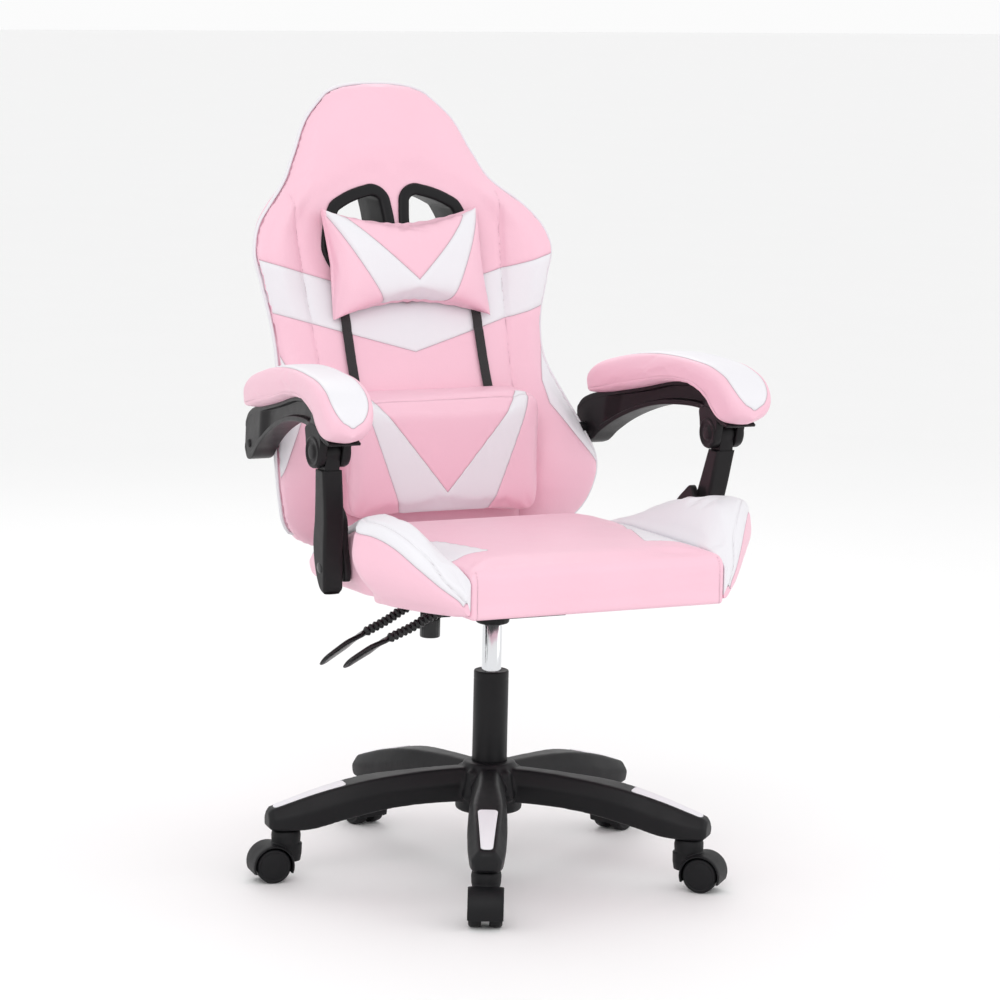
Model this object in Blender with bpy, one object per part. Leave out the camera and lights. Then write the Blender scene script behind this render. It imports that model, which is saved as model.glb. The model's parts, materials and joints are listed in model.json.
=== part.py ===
"""Gaming chair: five-leg base on twin-wheel casters, gas lift, tilt mechanism, bolstered seat, reclining back
with two openings, lumbar and head pillows, and armrests linked to the backrest.

Frame: metres, +Z up, the chair faces -Y, the user's left is +X, and the floor is z = 0.
Shapes are written in the chair's own frame, whose Z axis is the swivel axis, and every object hangs under an
empty that lies on the axis it turns about.
"""
import math

import bmesh
import bpy
from mathutils import Matrix, Vector

# ---- Driving dimensions ----------------------------------------------------------------------------------
SWIVEL_Y = -0.061          # the swivel axis in the part's frame, whose origin is under the middle of the box
GAP = 0.0003               # between pieces that rest on each other
RUNNING_GAP = 0.0005       # between a pin and its bore
BASE_YAW = math.radians(-27.0)

# Base and casters
LEG_COUNT = 5
LEG_REACH = 0.329
LEG_FOOT_Z = 0.0745        # underside of a leg where the caster goes in
LEG_WALL = 0.005
HUB_TOP_Z = 0.160
HUB_BOTTOM_Z = 0.088
HUB_TOP_R = 0.036
HUB_BOTTOM_R = 0.048
TRIM_START = 0.205
TRIM_END = 0.312
TRIM_HALF_START = 0.0165
TRIM_HALF_END = 0.0085
TRIM_THICKNESS = 0.003
CASTER_REACH = 0.300       # stem axis from the swivel axis
CASTER_TRAIL = 0.022       # wheel axle from the stem axis
WHEEL_R = 0.025
WHEEL_WIDTH = 0.0197
WHEEL_SIDES = 16
HOOD_WIDTH = 0.051
HOOD_WEB = 0.009
HOOD_WALL = 0.0025
HOOD_CLEARANCE = 0.0015
HOOD_DROP = math.radians(20.0)
CASTER_AXLE_R = 0.003
STEM_R = 0.0055
STEM_LENGTH = 0.021

# Gas lift
TUBE_R = 0.025
TUBE_WALL = 0.0016
TUBE_BOTTOM_Z = 0.052
TUBE_TOP_Z = 0.2915
BUSH_LENGTH = 0.080
CYLINDER_R = 0.014
CYLINDER_BORE_R = 0.0108
CYLINDER_BOTTOM_Z = 0.150
ROD_R = 0.005
ROD_TOP_Z = 0.225
BEARING_R = 0.015
BEARING_HEIGHT = 0.006

# Mechanism under the seat
COLLAR_BOTTOM_Z = 0.360
COLLAR_R = 0.024
HOUSING_HALF = 0.070
HOUSING_FRONT_Y = -0.096
HOUSING_REAR_Y = 0.052
HOUSING_BOTTOM_Z = 0.382
TILT_Y = -0.075
TILT_Z = 0.397
TILT_LIMIT = math.radians(7.0)
TILT_PIN_R = 0.005
PLATE_Z = 0.413            # underside of the seat plate
PLATE_THICKNESS = 0.0035
PLATE_HALF = 0.084
EAR_THICKNESS = 0.003
KNOB_X = -0.095
KNOB_Y = 0.008
KNOB_R = 0.0145
KNOB_BOTTOM_Z = 0.344
KNOB_TOP_Z = 0.372
SPRING_WIRE_R = 0.0012
SPRING_COIL_R = 0.0075
SPRING_TURNS = 5
SPRING_STEPS = 8           # straight lengths of wire in a turn
LEVER_ROD_R = 0.0045
LEVER_PIVOT_Z = 0.3880
HEIGHT_LEVER_Y = -0.035
RECLINE_LEVER_Y = 0.044
HEIGHT_LEVER_FALL = 0.86     # how steeply the height lever hangs, beside the recline lever

# Seat
SEAT_HALF = 0.1940         # half the width of the middle cushion
SEAT_FRONT_Y = -0.322
SEAT_REAR_Y = 0.165
SEAT_TOP_Z = 0.502
FRAME_HALF = 0.185
FRAME_FRONT_Y = -0.145
FRAME_REAR_Y = 0.150
FRAME_TUBE_WIDTH = 0.024
FRAME_TUBE_HEIGHT = 0.0150
FRAME_LOW_Z = 0.4240        # the ring of tube, inside the cushion's underside
RAIL_HALF = 0.015
RAIL_X = 0.062
SEAT_UNDER_Z = 0.4300
WING_FRONT_Y = -0.318
WING_SIDE_Y = -0.165        # behind here the wing's side runs straight back
WING_UNDER_HALF = 0.262
WING_CORNER_HALF = 0.199    # where the wing's lower edge starts at the front
WING_OUTER_HALF = 0.2570      # side of the wings behind the flare
WING_BULGE = 0.10          # how far the wing's side swells, as a share of its lean
FLARE_HALF = 0.306         # the wing's widest place, just in front of the arm posts

# Backrest
RECLINE_Y = 0.185
RECLINE_Z = 0.425
BRACKET_X = 0.150          # middle of the seat's hinge plates
BRACKET_THICKNESS = 0.006
HINGE_EYE_R = 0.015
RECLINE_PIN_R = 0.006
BACK_PANEL_DEPTH = 0.022
BACK_FRAME_WIDTH = 0.020
BACK_FRAME_DEPTH = 0.014
BACK_FRAME_INSET = 0.004
POCKET_CLEARANCE = 0.0012
BEZEL_LIP = 0.004
BEZEL_SLEEVE = 0.003       # how far the sleeve is inside the flange's outline
BEZEL_WALL = 0.005
STRAP_WIDTH = 0.013
STRAP_THICKNESS = 0.002
STRAP_X = 0.107
LUMBAR_HALF = 0.155
LUMBAR_FRONT_Y = 0.156
LUMBAR_BOTTOM_Z = 0.489
LUMBAR_TOP_Z = 0.676
HEAD_PILLOW_DEPTH = 0.050
PILLOW_CLEARANCE = 0.0032  # room for the straps behind the pillows
BAND_HALF = 0.030
BAND_HEIGHT = 0.022
BAND_Z = 0.905

# Armrests: a four-bar linkage of seat, post, arm and backrest
ARM_X = 0.308              # middle of the arm
ARM_WIDTH = 0.048
ARM_HINGE_Y = -0.103
ARM_HINGE_Z = 0.635
ARM_DISC_R = 0.0225
KNUCKLE_WIDTH = 0.022
KNUCKLE_R = 0.0185
POST_FOOT_Y = -0.075
POST_FOOT_Z = 0.470
POST_WIDTH = 0.0300
FOOT_PLATE_X = 0.2657       # middle of the bracket's lower edge
FOOT_PLATE_THICKNESS = 0.0100
ARM_PIN_R = 0.004
REAR_PIVOT_Y = 0.213
REAR_PIVOT_Z = 0.602
REAR_STUD_R = 0.006
REAR_STUD_CLEARANCE = 0.0036   # the linkage is opened here, and its path is matched to about 1.5 mm
PAD_HALF = 0.040
PAD_INSET = 0.005          # the pad's middle line is this far inside the arm's
POST_LEAN = 0.12            # how far the post comes in for each metre below the hinge
ARM_TOE_IN = 0.125         # how far the arm comes in for each metre it runs back
PAD_TOE_IN = 0.090
ARM_KINK_Y = -0.075        # behind here the arm runs inwards
ARM_REAR_WIDTH = 0.034
FOOT_BOLT_R = 0.004
FOOT_BOLT_Z = 0.465
FOOT_BOLT_YS = (-0.097, -0.050)

# ---- Mesh helpers ----------------------------------------------------------------------------------------


def mesh_from(name, points, faces):
    """A mesh whose faces all point outwards."""
    mesh = bpy.data.meshes.new(name)
    mesh.from_pydata([tuple(point) for point in points], [], faces)
    shape = bmesh.new()
    shape.from_mesh(mesh)
    bmesh.ops.recalc_face_normals(shape, faces=shape.faces)
    shape.to_mesh(mesh)
    shape.free()
    return mesh


def loft(rings, closed=False):
    """Skin over rings of equally many points; the ends are capped unless the rings close on themselves."""
    count = len(rings[0])
    points = [point for ring in rings for point in ring]
    pairs = len(rings) if closed else len(rings) - 1
    faces = []
    for row in range(pairs):
        start, end = row * count, ((row + 1) % len(rings)) * count
        for column in range(count):
            following = (column + 1) % count
            faces.append((start + column, start + following, end + following, end + column))
    if not closed:
        faces.append(tuple(range(count)))
        faces.append(tuple(range((len(rings) - 1) * count, len(rings) * count)))
    return mesh_from("loft", points, faces)


def prism(outline, axis, low, high):
    """The outline, in the two other axes' order, carried along an axis from low to high."""
    places = {"X": lambda a, b, h: (h, a, b), "Y": lambda a, b, h: (a, h, b), "Z": lambda a, b, h: (a, b, h)}
    place = places[axis]
    return loft([[place(a, b, low) for a, b in outline], [place(a, b, high) for a, b in outline]])


def box(low, high):
    (x0, y0, z0), (x1, y1, z1) = low, high
    return prism([(x0, y0), (x1, y0), (x1, y1), (x0, y1)], "Z", z0, z1)


def circle(radius, sides=16, centre=(0.0, 0.0), turn=0.0):
    steps = [turn + 2 * math.pi * step / sides for step in range(sides)]
    return [(centre[0] + radius * math.cos(a), centre[1] + radius * math.sin(a)) for a in steps]


def cylinder(axis, centre, radius, low, high, sides=16):
    return prism(circle(radius, sides, centre), axis, low, high)


def turned(profile, sides):
    """A closed ring profile of (radius, height) turned about Z."""
    rings = []
    for step in range(sides):
        angle = 2 * math.pi * step / sides
        rings.append([(r * math.cos(angle), r * math.sin(angle), z) for r, z in profile])
    return loft(rings, closed=True)


def turned_solid(profile, sides):
    """A stack of circles: (radius, height) from bottom to top, with flat ends."""
    return loft([[(x, y, z) for x, y in circle(r, sides)] for r, z in profile])


def joined(first, operation, second):
    """The Boolean of two meshes as a new mesh."""
    holders = [bpy.data.objects.new("shape", mesh) for mesh in (first, second)]
    for holder in holders:
        bpy.context.scene.collection.objects.link(holder)
    step = holders[0].modifiers.new("step", "BOOLEAN")
    step.operation = operation
    step.solver = "EXACT"
    step.object = holders[1]
    evaluated = holders[0].evaluated_get(bpy.context.evaluated_depsgraph_get())
    result = bpy.data.meshes.new_from_object(evaluated)
    for holder in holders:
        bpy.data.objects.remove(holder)
    return result


def union(first, *others):
    for other in others:
        first = joined(first, "UNION", other)
    return first


def cut(first, *cutters):
    for cutter in cutters:
        first = joined(first, "DIFFERENCE", cutter)
    return first


def mirrored(mesh):
    """A copy on the other side of the middle plane."""
    copy = mesh.copy()
    copy.transform(Matrix.Diagonal((-1.0, 1.0, 1.0, 1.0)))
    copy.flip_normals()
    return copy


def between(table, at, column=1):
    """Straight-line reading of a table whose first column rises."""
    for low, high in zip(table, table[1:]):
        if at <= high[0]:
            share = max(0.0, (at - low[0]) / (high[0] - low[0]))
            return low[column] + share * (high[column] - low[column])
    return table[-1][column]


def rounded(outline, radius, steps=2):
    """Each corner of a closed outline replaced by a small curve."""
    points = []
    for index, corner in enumerate(outline):
        corner = Vector(corner)
        before = Vector(outline[index - 1]) - corner
        after = Vector(outline[(index + 1) % len(outline)]) - corner
        start = corner + before.normalized() * min(radius, before.length * 0.45)
        end = corner + after.normalized() * min(radius, after.length * 0.45)
        for step in range(steps + 1):
            t = step / steps
            points.append(start * (1 - t) ** 2 + corner * 2 * t * (1 - t) + end * t ** 2)
    return [tuple(point) for point in points]


def inset(outline, distance):
    """A closed outline, counter-clockwise, with every side moved inwards."""
    result = []
    for index, corner in enumerate(outline):
        corner = Vector(corner)
        into = (corner - Vector(outline[index - 1])).normalized()
        out = (Vector(outline[(index + 1) % len(outline)]) - corner).normalized()
        bisector = (Vector((-into.y, into.x)) + Vector((-out.y, out.x))).normalized()
        reach = distance / max(0.3, bisector.dot(Vector((-into.y, into.x))))
        result.append(tuple(corner + bisector * reach))
    return result


# ---- Materials and placing -------------------------------------------------------------------------------
MATERIALS = {
    "pink_leather": ((0.86, 0.42, 0.53), 0.45, 0.0),
    "white_leather": ((0.86, 0.85, 0.88), 0.45, 0.0),
    "black_plastic": ((0.022, 0.022, 0.025), 0.42, 0.0),
    "white_plastic": ((0.82, 0.82, 0.86), 0.35, 0.0),
    "wheel_plastic": ((0.015, 0.015, 0.017), 0.5, 0.0),
    "painted_steel": ((0.03, 0.03, 0.033), 0.4, 0.6),
    "chromed_steel": ((0.75, 0.76, 0.78), 0.18, 1.0),
    "bare_steel": ((0.45, 0.46, 0.48), 0.35, 1.0),
    "webbing": ((0.012, 0.012, 0.014), 0.8, 0.0),
    "pad_leather": ((0.86, 0.45, 0.56), 0.5, 0.0),
}


def make_materials():
    for name, (colour, roughness, metallic) in MATERIALS.items():
        material = bpy.data.materials.new(name)
        material.use_nodes = True
        shader = material.node_tree.nodes["Principled BSDF"]
        shader.inputs["Base Color"].default_value = (*colour, 1.0)
        shader.inputs["Roughness"].default_value = roughness
        shader.inputs["Metallic"].default_value = metallic


def empty(name, place=(0.0, 0.0, 0.0), parent=None, turn=0.0):
    """An empty at a place given in its parent's frame."""
    marker = bpy.data.objects.new(name, None)
    bpy.context.scene.collection.objects.link(marker)
    marker.location = place
    marker.rotation_euler = (0.0, 0.0, turn)
    marker.parent = parent
    return marker


def add(name, mesh, material, parent, place=(0.0, 0.0, 0.0), smooth=False):
    """One named object under its parent, with its material; place is in the parent's frame."""
    part = bpy.data.objects.new(name, mesh)
    bpy.context.scene.collection.objects.link(part)
    part.location = place
    part.parent = parent
    if not mesh.materials:
        mesh.materials.append(bpy.data.materials[material])
    if smooth:
        mesh.shade_smooth()
        mesh.set_sharp_from_angle(angle=math.radians(40.0))
    return part


def add_at_axis(name, mesh, material, axis, smooth=False):
    """A mesh written in the chair's frame, moved so that its origin is on the axis it turns about."""
    mesh.transform(Matrix.Translation(-Vector(axis.location)))
    return add(name, mesh, material, axis, smooth=smooth)


# ---- Base ------------------------------------------------------------------------------------------------
# Along a leg: reach, then the top and the underside
LEG_TOP = [(0.0, 0.152), (0.060, 0.152), (0.120, 0.1485), (0.195, 0.1405), (0.318, 0.1065),
           (LEG_REACH, 0.1035)]
LEG_UNDER = [(0.0, 0.104), (0.100, 0.104), (0.150, 0.100), (0.220, 0.087), (0.272, LEG_FOOT_Z),
             (LEG_REACH, LEG_FOOT_Z)]
# reach, half the width of the top, of the ridge along the side, and of the underside
LEG_WIDTHS = [(0.015, 0.012, 0.024, 0.022), (0.100, 0.012, 0.025, 0.022), (0.195, 0.0195, 0.028, 0.023),
              (0.250, 0.0165, 0.0285, 0.023), (0.318, 0.0120, 0.022, 0.020), (LEG_REACH, 0.011, 0.018, 0.017)]
LEG_ROWS = [0.015, 0.060, 0.100, 0.150, 0.195, 0.220, 0.250, 0.272, 0.318, LEG_REACH]


def leg_section(reach):
    top, under = between(LEG_TOP, reach), between(LEG_UNDER, reach)
    half_top, half_ridge, half_under = (between(LEG_WIDTHS, reach, column) for column in (1, 2, 3))
    ridge = under + 0.55 * (top - under)
    right = [(half_under, under), (half_ridge, ridge), (half_top, top)]
    return right + [(-y, z) for y, z in reversed(right)]


def leg():
    rings = [[(reach, y, z) for y, z in leg_section(reach)] for reach in LEG_ROWS]
    hollow_rows = [0.060, 0.150, 0.220, CASTER_REACH - 0.030]
    hollow = []
    for reach in hollow_rows:
        half = between(LEG_WIDTHS, reach, 3) - LEG_WALL
        ceiling = between(LEG_TOP, reach) - TRIM_THICKNESS - LEG_WALL - 0.004
        floor = between(LEG_UNDER, reach) - 0.010
        hollow.append([(reach, -half, floor), (reach, half, floor), (reach, half * 0.6, ceiling),
                       (reach, -half * 0.6, ceiling)])
    return cut(loft(rings), loft(hollow))


def trim_solid(margin, depth, rise):
    """The insert's outline, grown by a margin, from a depth under the leg's top to a rise over it."""
    start, end = TRIM_START - margin, TRIM_END + margin
    half_start, half_end = TRIM_HALF_START + margin, TRIM_HALF_END + margin
    outline = rounded([(start, -half_start), (end, -half_end), (end, half_end), (start, half_start)], 0.004)
    lower = [(x, y, between(LEG_TOP, x) - depth) for x, y in outline]
    upper = [(x, y, between(LEG_TOP, x) + rise) for x, y in outline]
    return loft([lower, upper])


def leg_turns():
    """The turn about Z of each leg, whose shape is written along +X."""
    return [BASE_YAW - math.pi / 2 + 2 * math.pi * index / LEG_COUNT for index in range(LEG_COUNT)]


def make_base(chair):
    one = cut(leg(), trim_solid(0.0004, TRIM_THICKNESS, 0.010))
    one = cut(one, cylinder("Z", (CASTER_REACH, 0.0), STEM_R + 2 * RUNNING_GAP, LEG_FOOT_Z - 0.010,
                            LEG_FOOT_Z + STEM_LENGTH + 0.002, 12))
    hub = turned_solid([(HUB_BOTTOM_R - 0.004, HUB_BOTTOM_Z), (HUB_BOTTOM_R, HUB_BOTTOM_Z + 0.004),
                        (HUB_BOTTOM_R - 0.004, 0.135), (HUB_TOP_R + 0.002, HUB_TOP_Z - 0.006),
                        (HUB_TOP_R, HUB_TOP_Z)], 20)
    for turn in leg_turns():
        copy = one.copy()
        copy.transform(Matrix.Rotation(turn, 4, "Z"))
        hub = union(hub, copy)
    hub = cut(hub, cylinder("Z", (0.0, 0.0), TUBE_R + 2 * GAP, HUB_BOTTOM_Z - 0.020, HUB_TOP_Z + 0.020, 24))
    add("star_base", hub, "black_plastic", chair)
    trim = trim_solid(0.0, TRIM_THICKNESS - GAP, 0.0005)
    for index, turn in enumerate(leg_turns()):
        insert = add(f"leg_trim_{index + 1}", trim, "white_plastic", chair)
        insert.rotation_euler.z = turn


# ---- Casters ---------------------------------------------------------------------------------------------
def caster_hood():
    """Hood over both wheels, with the web between them, the stem and the axle, stem axis at the origin."""
    inner_r = WHEEL_R / math.cos(math.pi / WHEEL_SIDES) + HOOD_CLEARANCE
    outer_r = inner_r + HOOD_WALL
    half = HOOD_WIDTH / 2
    sweep = math.pi + 2 * HOOD_DROP
    steps = 11
    arc = [(CASTER_TRAIL + outer_r * math.cos(-HOOD_DROP + sweep * step / steps),
            WHEEL_R + outer_r * math.sin(-HOOD_DROP + sweep * step / steps)) for step in range(steps + 1)]
    hood = prism(arc, "Y", -half, half)
    block_top = LEG_FOOT_Z - 3 * GAP
    block = turned_solid([(half - 0.006, WHEEL_R + 0.004), (half - 0.001, WHEEL_R + 0.012),
                          (half - 0.001, block_top - 0.004), (half - 0.006, block_top)], 16)
    hood = union(hood, block)
    for side in (-1, 1):
        inner, outer = side * HOOD_WEB / 2, side * (half + 0.010)
        room = cylinder("Y", (CASTER_TRAIL, WHEEL_R), inner_r, min(inner, outer), max(inner, outer), 18)
        hood = cut(hood, room)
    stem = turned_solid([(STEM_R, block_top - 0.006), (STEM_R, LEG_FOOT_Z + STEM_LENGTH - 0.002),
                         (STEM_R - 0.001, LEG_FOOT_Z + STEM_LENGTH)], 12)
    axle_half = half - 0.002
    axle = cylinder("Y", (CASTER_TRAIL, WHEEL_R), CASTER_AXLE_R, -axle_half, axle_half, 10)
    return union(hood, stem, axle)


def caster_wheel():
    """One wheel about its own Y axis, with a flat of its rim at the bottom."""
    rim = WHEEL_R / math.cos(math.pi / WHEEL_SIDES)
    bore = CASTER_AXLE_R + RUNNING_GAP
    half = WHEEL_WIDTH / 2
    profile = [(bore, -half), (rim - 0.0015, -half), (rim, -half + 0.0015), (rim, half - 0.004),
               (rim - 0.003, half - 0.001), (bore, half)]
    wheel = turned(profile, WHEEL_SIDES)
    wheel.transform(Matrix.Rotation(math.pi / WHEEL_SIDES, 4, "Z"))
    wheel.transform(Matrix.Rotation(-math.pi / 2, 4, "X"))
    return wheel


def make_casters(chair):
    hood, wheel, wheel_back = caster_hood(), caster_wheel(), caster_wheel()
    wheel_back.transform(Matrix.Rotation(math.pi, 4, "Z"))
    offset = HOOD_WEB / 2 + 2 * RUNNING_GAP + WHEEL_WIDTH / 2
    for index, turn in enumerate(leg_turns()):
        stem = (CASTER_REACH * math.cos(turn), CASTER_REACH * math.sin(turn), 0.0)
        axis = empty(f"caster_axis_{index + 1}", stem, chair, turn)
        add(f"caster_hood_{index + 1}", hood, "black_plastic", axis, smooth=True)
        add(f"caster_wheel_{index + 1}a", wheel, "wheel_plastic", axis, (CASTER_TRAIL, offset, WHEEL_R), True)
        add(f"caster_wheel_{index + 1}b", wheel_back, "wheel_plastic", axis, (CASTER_TRAIL, -offset, WHEEL_R),
            True)


# ---- Gas lift --------------------------------------------------------------------------------------------
def make_gas_lift(chair):
    bore = TUBE_R - TUBE_WALL
    floor = TUBE_BOTTOM_Z + TUBE_WALL
    hole = ROD_R + RUNNING_GAP
    tube = turned([(hole, TUBE_BOTTOM_Z), (TUBE_R - 0.002, TUBE_BOTTOM_Z), (TUBE_R, TUBE_BOTTOM_Z + 0.002),
                   (TUBE_R, TUBE_TOP_Z - 0.001), (TUBE_R - 0.001, TUBE_TOP_Z), (bore, TUBE_TOP_Z),
                   (bore, floor), (hole, floor)], 24)
    add("gas_tube", tube, "painted_steel", chair, smooth=True)
    inner = CYLINDER_R + RUNNING_GAP
    bush_bottom = TUBE_TOP_Z - BUSH_LENGTH
    bush = turned([(inner, bush_bottom), (bore - GAP * 2, bush_bottom), (bore - GAP * 2, TUBE_TOP_Z - 0.0015),
                   (inner, TUBE_TOP_Z - 0.0015)], 24)
    add("tube_bush", bush, "black_plastic", chair, smooth=True)
    bearing_bottom = floor + GAP
    bearing_top = bearing_bottom + BEARING_HEIGHT
    bearing = turned([(hole, bearing_bottom), (BEARING_R, bearing_bottom), (BEARING_R, bearing_top),
                      (hole, bearing_top)], 16)
    add("thrust_bearing", bearing, "bare_steel", chair, smooth=True)
    collar = bearing_top + GAP
    piston = CYLINDER_BORE_R - RUNNING_GAP
    rod = turned_solid([(ROD_R, TUBE_BOTTOM_Z - 0.004), (ROD_R, collar), (ROD_R + 0.004, collar + 0.0001),
                        (ROD_R + 0.004, collar + 0.004), (ROD_R, collar + 0.0041), (ROD_R, ROD_TOP_Z - 0.014),
                        (piston, ROD_TOP_Z - 0.012), (piston, ROD_TOP_Z)], 16)
    swivel = empty("swivel_axis", parent=chair)
    add("gas_rod", rod, "chromed_steel", swivel, smooth=True)
    top = gas_cylinder_top()
    cylinder_mesh = turned_solid([(CYLINDER_R - 0.001, CYLINDER_BOTTOM_Z),
                                  (CYLINDER_R, CYLINDER_BOTTOM_Z + 0.001), (CYLINDER_R, top)], 24)
    cylinder_mesh = cut(cylinder_mesh, cylinder("Z", (0.0, 0.0), CYLINDER_BORE_R, CYLINDER_BOTTOM_Z - 0.010,
                                                COLLAR_BOTTOM_Z - 0.006, 20))
    add("gas_cylinder", cylinder_mesh, "chromed_steel", swivel, smooth=True)


def gas_cylinder_top():
    return HOUSING_BOTTOM_Z + 0.009


# ---- Mechanism -------------------------------------------------------------------------------------------
def housing_top(y):
    """The housing falls away behind the tilt pin, so that the seat plate can tip back over it."""
    fall = math.tan(TILT_LIMIT + math.radians(1.0))
    return PLATE_Z - 0.0025 - fall * max(0.0, y - TILT_Y)


def make_mechanism(chair):
    side = [(HOUSING_FRONT_Y + 0.006, HOUSING_BOTTOM_Z), (HOUSING_REAR_Y - 0.004, HOUSING_BOTTOM_Z),
            (HOUSING_REAR_Y, HOUSING_BOTTOM_Z + 0.004), (HOUSING_REAR_Y, housing_top(HOUSING_REAR_Y)),
            (TILT_Y + 0.012, housing_top(TILT_Y + 0.012)), (TILT_Y - 0.012, housing_top(TILT_Y)),
            (HOUSING_FRONT_Y, HOUSING_BOTTOM_Z + 0.010)]
    housing = prism(side, "X", -HOUSING_HALF, HOUSING_HALF)
    collar = turned_solid([(COLLAR_R - 0.002, COLLAR_BOTTOM_Z), (COLLAR_R, COLLAR_BOTTOM_Z + 0.002),
                           (COLLAR_R + 0.004, HOUSING_BOTTOM_Z + 0.002)], 20)
    boss_r = KNOB_R
    boss_top = housing_top(KNOB_Y + boss_r)
    boss = turned_solid([(boss_r, KNOB_TOP_Z + GAP), (boss_r, boss_top)], 20)
    boss.transform(Matrix.Translation((KNOB_X, KNOB_Y, 0.0)))
    housing = union(housing, collar, boss,
                    box((KNOB_X, KNOB_Y - 0.010, KNOB_TOP_Z + 2 * GAP),
                        (-HOUSING_HALF + 0.002, KNOB_Y + 0.010, boss_top - 0.001)))
    spring_bore = SPRING_COIL_R + SPRING_WIRE_R + 2 * RUNNING_GAP
    housing = cut(housing,
                  cylinder("Z", (0.0, 0.0), CYLINDER_R + GAP, COLLAR_BOTTOM_Z - 0.010,
                           gas_cylinder_top() + GAP, 24),
                  cylinder("Z", (KNOB_X, KNOB_Y), spring_bore, KNOB_TOP_Z - 0.010, boss_top - 0.004, 14),
                  cylinder("X", (TILT_Y, TILT_Z), TILT_PIN_R + RUNNING_GAP, -0.1, 0.1, 14))
    lift = empty("lift_axis", parent=chair)
    add("mechanism_housing", housing, "black_plastic", lift)
    ear_out = HOUSING_HALF + 2 * RUNNING_GAP + EAR_THICKNESS
    head = ear_out + 2 * GAP
    pin = cylinder("X", (TILT_Y, TILT_Z), TILT_PIN_R, -head, head, 12)
    pin = union(pin, cylinder("X", (TILT_Y, TILT_Z), TILT_PIN_R + 0.003, head, head + 0.003, 12),
                cylinder("X", (TILT_Y, TILT_Z), TILT_PIN_R + 0.003, -head - 0.003, -head, 12))
    add("tilt_pin", pin, "bare_steel", lift, smooth=True)
    make_spring(lift, spring_bore, boss_top)
    knob_axis = empty("knob_axis", (KNOB_X, KNOB_Y, 0.0), chair)
    grip = [(KNOB_R - (0.0012 if step % 2 else 0.0), 2 * math.pi * step / 20) for step in range(20)]
    outline = [(r * math.cos(a), r * math.sin(a)) for r, a in grip]
    knob = loft([[(x * 0.9, y * 0.9, KNOB_BOTTOM_Z) for x, y in outline],
                 [(x, y, KNOB_BOTTOM_Z + 0.002) for x, y in outline],
                 [(x, y, KNOB_TOP_Z - 0.002) for x, y in outline],
                 [(x * 0.9, y * 0.9, KNOB_TOP_Z) for x, y in outline]])
    knob = cut(knob, cylinder("Z", (0.0, 0.0), spring_bore, KNOB_BOTTOM_Z + 0.006, KNOB_TOP_Z + 0.010, 14))
    add("tension_knob", knob, "black_plastic", knob_axis)


def make_spring(lift, spring_bore, boss_top):
    """The tension spring: a helix of round wire standing in the knob and reaching up into the housing."""
    low = KNOB_BOTTOM_Z + 0.006 + SPRING_WIRE_R + GAP
    high = boss_top - 0.004 - SPRING_WIRE_R - GAP
    steps = SPRING_TURNS * SPRING_STEPS
    wire = []
    for step in range(steps + 1):
        angle = 2 * math.pi * step / SPRING_STEPS
        centre = Vector((KNOB_X + SPRING_COIL_R * math.cos(angle), KNOB_Y + SPRING_COIL_R * math.sin(angle),
                         low + (high - low) * step / steps))
        outward = Vector((math.cos(angle), math.sin(angle), 0.0))
        wire.append([centre + SPRING_WIRE_R * (math.cos(a) * outward + math.sin(a) * Vector((0, 0, 1)))
                     for a in (2 * math.pi * side / 5 for side in range(5))])
    add("tension_spring", loft(wire), "bare_steel", lift, smooth=True)


def lever_mesh(fall):
    """A rod from a round root, a bellows sleeve, and a flat paddle; the root's centre is at the origin."""
    # distance out along -X, drop, half width, half thickness
    stations = [(-0.0044, 0.0, 0.0009, 0.0009), (-0.0031, 0.0, 0.0032, 0.0032),
                (0.0, 0.0, LEVER_ROD_R, LEVER_ROD_R), (0.022, 0.000, LEVER_ROD_R, LEVER_ROD_R),
                (0.026, 0.001, 0.0075, 0.0075), (0.104, 0.038, 0.0070, 0.0062),
                (0.112, 0.042, 0.0110, 0.0042), (0.126, 0.050, 0.0130, 0.0034),
                (0.160, 0.070, 0.0130, 0.0030), (0.170, 0.0765, 0.0105, 0.0025),
                (0.175, 0.0795, 0.0060, 0.0018)]
    rings = []
    for index, (out, drop, half, thick) in enumerate(stations):
        before, after = stations[max(0, index - 1)], stations[min(len(stations) - 1, index + 1)]
        run = Vector((-(after[0] - before[0]), 0.0, -(after[1] - before[1]) * fall)).normalized()
        upward = Vector((0.0, 1.0, 0.0)).cross(run) * -1.0
        centre = Vector((-out, 0.0, -drop * fall))
        rings.append([centre + Vector((0.0, half * math.cos(a), 0.0)) + upward * thick * math.sin(a)
                      for a in (2 * math.pi * side / 12 for side in range(12))])
    return loft(rings)


def make_levers(chair):
    root_x = -(HOUSING_HALF + GAP + LEVER_ROD_R)
    for name, y, fall in (("height_lever", HEIGHT_LEVER_Y, HEIGHT_LEVER_FALL),
                          ("recline_lever", RECLINE_LEVER_Y, 1.0)):
        axis = empty(f"{name}_axis", (root_x, y, LEVER_PIVOT_Z), chair)
        add(name, lever_mesh(fall), "black_plastic", axis, smooth=True)


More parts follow.
